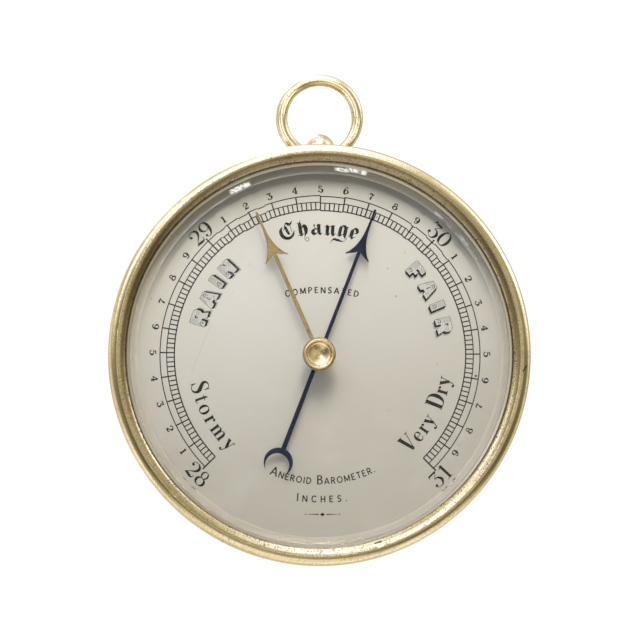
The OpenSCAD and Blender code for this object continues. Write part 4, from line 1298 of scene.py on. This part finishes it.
def struck_offset(radius, angle):
    """Where a struck line at the given angle meets the radius, from the ring centre."""
    angle = math.radians(angle + STRIKE_TURN)
    x, y = STRIKE_SHIFT
    ux, uy = math.sin(angle), math.cos(angle)
    along = x * ux + y * uy
    reach = -along + math.sqrt(along * along - (x * x + y * y) + radius * radius)
    return x + reach * ux, y + reach * uy


def struck(radius, angle, width):
    x, y = struck_offset(radius, angle)
    return (RING_CENTRE[0] + x, RING_CENTRE[1] + y, width)


def struck_angle(radius, angle):
    return math.atan2(*struck_offset(radius, angle))


def build_scale():
    """Three rings and a division every 0.02 inch, longer ones every 0.1 inch and every inch."""
    solid = Solid()
    steps = 720
    for radius, width in ((RING_OUT, 0.31), (RING_MID, 0.30), (RING_IN, 0.38)):
        turns = [SCALE_START + 3 * INCH * i / steps for i in range(steps + 1)]
        solid.ribbon([struck(radius, a, width) for a in turns], INK)
    draws = random.Random(11)
    for i in range(151):
        if i % 50 == 0:
            outer, width = 49.3, 0.44
        elif i % 5 == 0:
            outer, width = RING_OUT, 0.40
        else:
            outer, width = RING_MID, 0.36
        angle = SCALE_START + DIVISION * i + draws.uniform(-0.02, 0.02)
        width += draws.uniform(-0.02, 0.02)
        line = [struck(RING_IN, angle, width), struck(outer, angle, width)]
        solid.ribbon(line, (INK[0], INK[1] + 0.002))
    return solid.build("dial_scale", [ink_fine])


def draw_figure(solid, digit, angle, radius, size, thin, bold, wide, tops_out):
    width, strokes = DIGITS[digit]
    place = letter_place(angle, radius, size, width, drop=0.5, wide=wide, tops_out=tops_out)
    draw_strokes(solid, strokes, place, size, thin, bold)


def build_figures():
    """Inch figures of two digits and small figures for the tenths between them."""
    solid = Solid()
    inch_r = 51.4
    for inch in range(4):
        angle = SCALE_START + INCH * inch
        text = str(28 + inch)
        tops_out = -90 < angle < 95
        half_gap = 1.75 if text == "31" else 1.98
        for digit, side in zip(text if tops_out else text[::-1], (-1, 1)):
            at = struck_angle(inch_r, angle) + side * half_gap / inch_r
            draw_figure(solid, digit, at, inch_r, size=4.75, thin=0.19, bold=1.12, wide=1.20,
                        tops_out=tops_out)
        if inch == 3:
            continue
        for tenth in range(1, 10):
            at = angle + INCH / 10 * tenth
            draw_figure(solid, str(tenth), struck_angle(50.3, at), 50.35, size=1.95, thin=0.27,
                        bold=1.8, wide=1.32, tops_out=-90 < at < 95)
    return solid.build("dial_figures", [ink])


def build_words():
    """Stormy, Very Dry and a blackletter Change with its flourish."""
    solid = Solid()
    for text, middle, spread in (("Stormy", -119.6, 23.7), ("Very Dry", 118.7, 26.6)):
        draw_line(solid, SERIF, text, radius=37.4, middle=middle, height=5.3, spread=spread,
                  thin=0.22, bold=1.22, tops_out=False)
    for letter, middle, size, wide in CHANGE:
        width, strokes = BLACKLETTER[letter]
        place = letter_place(middle / CHANGE_R, CHANGE_R, size, width, wide=wide)
        draw_strokes(solid, strokes, place, size, thin=0.18, bold=1.30)
    cx, cy = RING_CENTRE
    solid.ribbon(curve([(cx + x, cy + y, width) for x, y, width in SWASH], 0.25), INK)
    return solid.build("dial_words", [ink])


def build_block_words():
    """RAIN and FAIR in fat engraved letters."""
    line, shade, face = Solid(), Solid(), Solid()
    for letter, angle, radius in BLOCK_WORDS:
        draw_block_letter(line, shade, face, letter, angle, radius)
    return [
        line.build("dial_block_lines", [ink_fine]),
        shade.build("dial_block_shade", [ink]),
        face.build("dial_block_faces", [grey_face]),
    ]


def build_small_lines():
    """Small lines of capitals, closed by a dash and lozenge."""
    solid = Solid()
    draw_line(solid, SANS, "COMPENSATED", radius=50.0, middle=0.35, height=1.85, spread=22.0,
              thin=0.30, bold=1.25, shift=(0.25, -30.3))
    text = "ANEROID BAROMETER."
    sizes = [2.75 if i in (0, 8) else 1.95 for i in range(len(text))]
    draw_line(solid, SANS, text, radius=37.9, middle=-181.3, height=2.1, spread=33.0,
              thin=0.33, tops_out=False, sizes=sizes)
    draw_line(solid, SANS, "INCHES.", radius=82.0, middle=-180.0, height=2.1, spread=15.4,
              thin=0.35, tops_out=False, sizes=[2.5] + [1.95] * 6, shift=(0.6, 38.7))
    cx, cy = 0.95, -47.7
    for side in (-1, 1):
        solid.ribbon([(cx + side * 1.15, cy, 0.34), (cx + side * 2.4, cy + 0.05, 0.26),
                      (cx + side * 4.6, cy + 0.1, 0.11)], INK)
        solid.disc(cx + side * 5.1, cy + 0.1, 0.2, INK, 12)
    solid.prism([(cx - 0.8, cy), (cx, cy - 0.55), (cx + 0.8, cy), (cx, cy + 0.55)], INK)
    return solid.build("dial_small_lines", [ink_fine])


def add_dial():
    add_dial_plate()
    printed = [build_scale(), build_figures(), build_words(), *build_block_words(),
               build_small_lines()]
    for obj in printed:
        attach(obj, "case")


# ------------------------------------------------------------------ hands
HAND_LENGTH = max(v.co.xz.length for v in nodes["pressure_hand"].data.vertices) / MM
BARB = HAND_LENGTH - 15.5  # how far out the barbs of the arrowhead are
HAND_HOLE = circle(0, 0, 1.24, 40)


def add_hand_plate(solid, outline, hole, span, chamfer):
    """A flat piece with a round hole and a broken upper edge."""
    if is_clockwise(outline):
        outline = outline[::-1]
    inner = inset(outline, chamfer)
    bottom, top = span
    n, k = len(outline), len(hole)
    edge_start = n + k
    top_start = edge_start + n

    def cap(ring, start):
        loops = [[Vector((x, y, 0)) for x, y in loop] for loop in (ring, hole)]
        return [tuple(i + start for i in face) for face in tessellate_polygon(loops)]

    verts = []
    for ring, z in ((outline, bottom), (hole, bottom), (outline, top - chamfer), (inner, top),
                    (hole, top)):
        verts += [(x, y, z) for x, y in ring]
    faces = cap(outline, 0) + cap(inner, top_start)
    for low, high in ((0, edge_start), (edge_start, top_start)):
        faces += side_quads(low, high, n)
    faces += side_quads(n, top_start + n, k)
    solid.add(verts, faces)


def hand_side(width, end_width, hub):
    """Right side of a hand from the hub to the point; widths are of the shaft."""
    half, end_half = width / 2, end_width / 2
    points = [(half, math.sqrt(hub * hub - half * half) + 0.02), (end_half, BARB + 1.75)]
    # the shaft flares back into the barb
    for i in range(1, 12):
        points.append((end_half + (3.55 - end_half) * i / 12,
                       BARB + 1.75 - 1.75 * (i / 12) ** 0.8))
    points += [(3.45, BARB - 0.12), (3.60, BARB - 0.12), (3.72, BARB - 0.02), (3.78, BARB + 0.16)]
    # the hollow side of the arrowhead
    start = BARB + 0.5
    for i in range(1, 41):
        y = start + (HAND_LENGTH - start) * i / 40
        points.append((0.33 + 3.55 * ((HAND_LENGTH - y) / 15.6) ** 4, y))
    points.append((0.16, HAND_LENGTH))
    return points


def mirrored(points):
    return [(-x, y) for x, y in points[::-1]]


def crescent_side():
    """Right side of the crescent on the tail, open to the far end, from inside to the neck."""
    middle, inner_shift, outer_r, inner_r = 34.4, 1.02, 4.4, 3.65
    horn = math.acos((outer_r**2 + inner_shift**2 - inner_r**2) / (2 * outer_r * inner_shift))
    inner_horn = math.asin(outer_r * math.sin(horn) / inner_r)
    neck = math.asin(0.72 / outer_r)
    points = []
    for i in range(29):
        a = math.pi + (inner_horn - math.pi) * i / 28
        points.append((inner_r * math.sin(a), -middle - inner_shift - inner_r * math.cos(a)))
    for i in range(1, 29):
        a = horn + (math.pi - neck - horn) * i / 28
        points.append((outer_r * math.sin(a), -middle - outer_r * math.cos(a)))
    return points


def hand_angle(node):
    """Clock angle of a CAD hand in degrees: the middle of its blunt tip."""
    points = [(v.co.x / MM, v.co.z / MM) for v in nodes[node].data.vertices if v.co.z > 0]
    far = max(math.hypot(x, y) for x, y in points)
    tip = [p for p in points if math.hypot(*p) > far - 0.05]
    return math.degrees(math.atan2(sum(p[0] for p in tip), sum(p[1] for p in tip)))


def add_hand(node, name, outline, chamfer, material, part):
    solid = Solid()
    add_hand_plate(solid, outline, HAND_HOLE, cad_z(node), chamfer)
    hand = solid.build(name, [mats[material]], turn=hand_angle(node))
    stand_in(hand, part, node)


def add_pressure_hand():
    hub, tail_half = 2.6, 0.62
    side = hand_side(1.15, 1.0, hub)
    inside, *crescent = crescent_side()
    tail_y = -math.sqrt(hub * hub - tail_half * tail_half)
    start = math.atan2(tail_y, tail_half)
    end = math.atan2(side[0][1], side[0][0])
    right = crescent + [(tail_half, tail_y)]
    for i in range(1, 16):
        a = start + (end - start) * i / 16
        right.append((hub * math.cos(a), hub * math.sin(a)))
    right += side
    add_hand("pressure_hand", "pressure_hand_blued", [inside] + right + mirrored(right),
             chamfer=0.11, material="blued_steel", part="arbor")


def add_set_hand():
    hub = 2.8
    side = hand_side(1.25, 1.1, hub)
    sweep = math.atan2(side[0][1], side[0][0]) + math.pi / 2
    right = []
    for i in range(24):
        a = -math.pi / 2 + sweep * i / 24
        right.append((hub * math.cos(a), hub * math.sin(a)))
    right += side
    add_hand("set_hand", "set_hand_brass", right + mirrored(right)[:-1],
             chamfer=0.13, material="set_hand", part="setting")


# ------------------------------------------------------------------ knob
KNURL_TEETH = 46
SIDES_PER_TOOTH = 8


def tooth_phase(angle):
    """0 to 1 across a tooth of the knurling, 0.5 in its valley."""
    return (angle / FULL_TURN * KNURL_TEETH) % 1.0


def add_knob():
    bottom, top = cad_z("set_knob")
    rim = cad_radius("set_knob")
    # the stem, stepping out to the foot of the head
    profile = [
        (0.0, bottom), (1.1, bottom), (1.2, bottom + 0.1), (1.2, 39.12), (1.8, 39.12),
        (1.8, 43.2), (3.1, 43.2), (3.3, 43.32), (3.3, 44.3), (3.45, 44.5), (4.3, 44.72),
        (4.75, 44.86),
    ]
    knurl_start = len(profile)
    profile += [(4.95, 45.0), (rim - 0.04, 45.2)] + [(rim, 45.5 + 0.5 * i) for i in range(5)]
    profile += [(rim - 0.02, 47.75), (rim - 0.10, 48.05), (rim - 0.26, 48.40),
                (rim - 0.46, 48.72), (rim - 0.60, 48.88)]
    knurl_end = len(profile)
    # rolled rim, groove, step and dish with a pip
    for i in range(11):
        a = math.radians(20 + i * 15)
        profile.append((4.16 + 0.37 * math.cos(a), top - 0.34 + 0.34 * math.sin(a)))
    profile += [(3.76, top - 0.50), (3.70, top - 0.60), (3.62, top - 0.62), (3.54, top - 0.54),
                (3.44, top - 0.48), (3.34, top - 0.50), (3.26, top - 0.60)]
    for i in range(1, 25):
        r = 3.22 - (3.22 - 0.34) * i / 24
        profile.append((r, top - 0.66 - 0.58 * (1 - (r / 3.24) ** 2)))
    dish = profile[-1][1]
    profile += [(0.32, dish + 0.02), (0.29, dish + 0.12), (0.25, dish + 0.24),
                (0.17, dish + 0.32), (0.07, dish + 0.36), (0.0, dish + 0.36)]

    def bend(station, r, z, angle):
        """Cuts the knurling and makes the rolled rim a little uneven."""
        if knurl_start <= station < knurl_end:
            valley = (1 - abs(2 * tooth_phase(angle) - 1)) ** 1.5
            if station in (knurl_start, knurl_end - 1):
                valley *= 0.5
            r -= 0.34 * valley
            z -= 0.30 * valley
        elif 3.6 < r < 4.6 and z > 48.5:
            r += 0.010 * math.sin(3 * angle + 1)
        return r, z

    solid = Solid()
    solid.lathe(profile, KNURL_TEETH * SIDES_PER_TOOTH, bend)
    # the bottoms of the knurling get a darker material: painted shade, with dirt
    for index, face in enumerate(solid.faces):
        x, y, z = (sum(solid.verts[i][axis] for i in face) / len(face) for axis in range(3))
        in_valley = abs(tooth_phase(math.atan2(x, y)) - 0.5) < 0.26
        if 44.9 < z < 48.95 and math.hypot(x, y) > 4.5 and in_valley:
            solid.slots[index] = 1
    knob = solid.build("set_knob_knurled", [mats["knob"], mats["knurl_shade_and_dirt"]], smooth=32)
    stand_in(knob, "setting", "set_knob")


# ------------------------------------------------------------------ copies of CAD pieces
def add_bending(node, name, weight=None):
    """A copy of a CAD piece that stands in for it.

    weight(x, y, z) gives the second part's share at each vertex; the shares are not used.
    """
    source = nodes[node]
    obj = bpy.data.objects.new(name, source.data.copy())
    obj.matrix_world = source.matrix_world.copy()
    bpy.context.scene.collection.objects.link(obj)
    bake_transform(obj)
    if weight:
        shares = [max(0.0, min(1.0, weight(*to_dial(v.co)))) for v in obj.data.vertices]
    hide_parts(node)
    materials = [s.material for s in source.material_slots]
    for i, material in enumerate(materials):
        obj.material_slots[i].material = material


def shell_weight(x, y, z):
    """The capsule shell's share: full in its middle and none beyond 22 mm."""
    t = max(0.0, min(1.0, (22.0 - math.hypot(x, y)) / 17.0))
    return t * t * (3 - 2 * t)


def hairspring_weight(x, y, z):
    """The hairspring's share: full at 2.3 mm and none at 7.7 mm."""
    return (7.7 - math.hypot(x, y)) / (7.7 - 2.3)


def add_bending_pieces():
    add_bending("main_spring", "main_spring_flexing")
    add_bending("capsule_upper_shell", "capsule_shell_breathing",
                shell_weight)
    add_bending("chain", "chain_winding")
    add_bending("hairspring", "hairspring_winding",
                hairspring_weight)


# ------------------------------------------------------------------ floor and studio
BACKDROP = 1.06  # brightness of the floor and of the world where the camera sees them
FLOOR_SIZE = 6.0
FLOOR_CELLS = 24


def pale_floor():
    """Glows for the camera only, and from above only, so a view from below shows the object."""
    m = Material("pale_floor")
    colour = m.mix(m.noise(0.01, detail=2, rough=0.5), (1.0, 1.0, 1.0), (0.985, 0.985, 0.985))
    glow = m.add("Emission", {"Strength": BACKDROP, "Color": colour})
    seen = m.math("SUBTRACT", m.add("LightPath", output="Is Camera Ray"),
                  m.add("NewGeometry", output="Backfacing"), clamp=True)
    return m.finish(m.mix_shader(seen, m.add("BsdfTransparent"), glow))


def add_floor():
    material = pale_floor()
    mesh = bpy.data.meshes.new("floor")
    z = cad_box[0][2] - 0.025
    steps = [(i / FLOOR_CELLS - 0.5) * FLOOR_SIZE for i in range(FLOOR_CELLS + 1)]
    row = FLOOR_CELLS + 1
    corners = [j * row + i for j in range(FLOOR_CELLS) for i in range(FLOOR_CELLS)]
    faces = [(c, c + 1, c + row + 1, c + row) for c in corners]
    mesh.from_pydata([(x, y, z) for y in steps for x in steps], [], faces)
    mesh.materials.append(material)
    link_object("floor", mesh)


# Studio brightness by direction: rows by degrees round the camera axis clockwise from up,
# columns by degrees off the camera axis.
ANGLES = (0, 10, 20, 40, 60, 80, 100, 124, 150, 180)
STUDIO = {
    0: (0.59, 0.75, 0.84, 2.60, 2.16, 2.60, 2.48, 1.00, 0.84, 0.66),
    30: (0.59, 0.24, 0.41, 0.72, 1.02, 1.07, 1.18, 0.81, 0.64, 0.66),
    60: (0.59, 0.64, 0.70, 0.58, 0.53, 2.42, 2.60, 0.91, 0.60, 0.66),
    90: (0.59, 0.67, 0.72, 0.27, 0.22, 0.30, 1.06, 0.49, 0.51, 0.66),
    120: (0.59, 0.71, 0.63, 0.16, 0.16, 0.29, 0.86, 0.92, 0.93, 0.66),
    150: (0.59, 0.61, 0.18, 0.21, 1.10, 1.36, 1.36, 0.84, 1.06, 0.66),
    180: (0.59, 0.58, 0.34, 1.10, 1.10, 1.33, 1.05, 0.72, 1.08, 0.66),
    210: (0.59, 0.32, 0.88, 1.37, 1.31, 0.99, 0.79, 0.91, 1.35, 0.66),
    240: (0.59, 0.22, 0.08, 0.20, 0.60, 1.60, 1.09, 1.01, 1.24, 0.66),
    270: (0.59, 0.31, 0.25, 0.31, 0.30, 0.64, 1.22, 0.67, 0.73, 0.66),
    300: (0.59, 0.54, 0.20, 1.18, 2.60, 0.81, 0.79, 1.24, 1.70, 0.66),
    330: (0.59, 2.60, 2.60, 2.21, 0.80, 1.13, 2.60, 2.60, 2.60, 0.66),
}
STUDIO_PEAK = 3.0  # the ramps hold brightness as a share of this


def brightness_ramp(s, share, values):
    """Brightness along one row of the table."""
    field = s.add("ValToRGB", {0: share})
    ramp = field.node.color_ramp
    ramp.interpolation = "EASE"
    while len(ramp.elements) < len(ANGLES):
        ramp.elements.new(0.5)
    for element, angle, value in zip(ramp.elements, ANGLES, values):
        level = value / STUDIO_PEAK
        element.position = angle / 180
        element.color = (level, level, level, 1)
    return field


def add_studio():
    studio = bpy.data.worlds.new("studio")
    bpy.context.scene.world = studio
    studio.use_nodes = True
    s = Shading(studio.node_tree)
    x, y, z = s.axes(s.add("TexCoord", output="Generated"))
    share = s.math("DIVIDE", s.math("ARCCOSINE", y * -1.0), math.pi)
    row = s.math("DIVIDE", s.math("ARCTAN2", x, z), math.pi / 6)
    total = None
    for k, degrees in enumerate(sorted(STUDIO)):
        away = s.math("ABSOLUTE", s.math("WRAP", row - float(k), 6.0, -6.0))
        weight = s.math("SUBTRACT", 1.0, away, clamp=True)
        part = brightness_ramp(s, share, STUDIO[degrees]) * weight
        total = total + part if total else part
    total = total * STUDIO_PEAK
    # the soft boxes are whiter and bluer than the room between them
    tint = s.mix(total.fade(0.75, 1.7), (1.0, 0.99, 0.95), (0.98, 1.09, 1.75))
    lit = s.add("Background", {0: tint, 1: total})
    white = s.add("Background", {0: (1.0, 1.0, 1.0), 1: BACKDROP})
    seen = s.add("LightPath", output="Is Camera Ray")
    s.add("OutputWorld", {0: s.mix_shader(seen, lit, white)})
    studio.cycles.sampling_method = "MANUAL"
    studio.cycles.sample_map_resolution = 512


# ------------------------------------------------------------------ lights and camera, in metres
LAMP_CENTRE = (0.0, -0.04, 0.0)


def aim(obj, target):
    obj.rotation_mode = "QUATERNION"
    obj.rotation_quaternion = (Vector(target) - obj.location).to_track_quat("-Z", "Y")


def add_lamp(name, off_axis, clock, distance, size, power, target=LAMP_CENTRE, glossy=False):
    """A disc light placed in degrees off the camera axis and clockwise from up."""
    light = bpy.data.lights.new(name, "AREA")
    light.shape = "DISK"
    light.size = size
    light.energy = power
    lamp = link_object(name, light)
    theta, phi = math.radians(off_axis), math.radians(clock)
    lamp.location = (
        distance * math.sin(theta) * math.sin(phi),
        LAMP_CENTRE[1] - distance * math.cos(theta),
        distance * math.sin(theta) * math.cos(phi),
    )
    aim(lamp, target)
    lamp.visible_camera = False
    lamp.visible_glossy = glossy
    return lamp


# soft lights on the hanging ring: off axis, clock angle, distance, size, power
RING_LAMPS = [
    (8, 0, 1.25, 0.75, 1.9), (44, 100, 0.7, 0.50, 1.2), (44, 260, 0.7, 0.50, 1.2),
    (60, 0, 0.7, 0.46, 0.9),
]


def add_lamps():
    add_lamp("key", off_axis=28.0, clock=3, distance=1.2, size=0.17, power=4.4)
    add_lamp("key_wide", off_axis=36.0, clock=2, distance=1.2, size=0.55, power=7.6)
    # the soft lights reach only the ring and its stud
    receivers = bpy.data.collections.new("ring_lit_here")
    for name in ("hanging_ring", "ring_stud"):
        receivers.objects.link(nodes[name])
    for k, placing in enumerate(RING_LAMPS):
        lamp = add_lamp(f"ring_soft_{k}", *placing, target=(0.0, -0.025, 0.0735), glossy=True)
        lamp.data.color = (0.80, 0.91, 1.32)
        lamp.light_linking.receiver_collection = receivers


def add_camera():
    """Looks at the roll's middle height from a little below."""
    camera = bpy.data.cameras.new("camera")
    obj = link_object("camera", camera)
    camera.sensor_width = 36
    camera.lens = 206.1
    camera.clip_start = 0.01
    camera.clip_end = 20
    front = -ROLL_Z * MM
    elevation = math.radians(-2.75)
    distance = 1.1
    obj.location = (0.0, front - distance * math.cos(elevation), distance * math.sin(elevation))
    aim(obj, (0.0002, front, 0.01036))
    bpy.context.scene.camera = obj


dress_cad_pieces()
add_bezel()
add_glass()
add_dial()
add_pressure_hand()
add_set_hand()
add_knob()
add_bending_pieces()
add_floor()
add_studio()
add_lamps()
add_camera()
bpy.context.scene.view_settings.view_transform = "Standard"
bpy.context.scene.view_settings.look = "None"
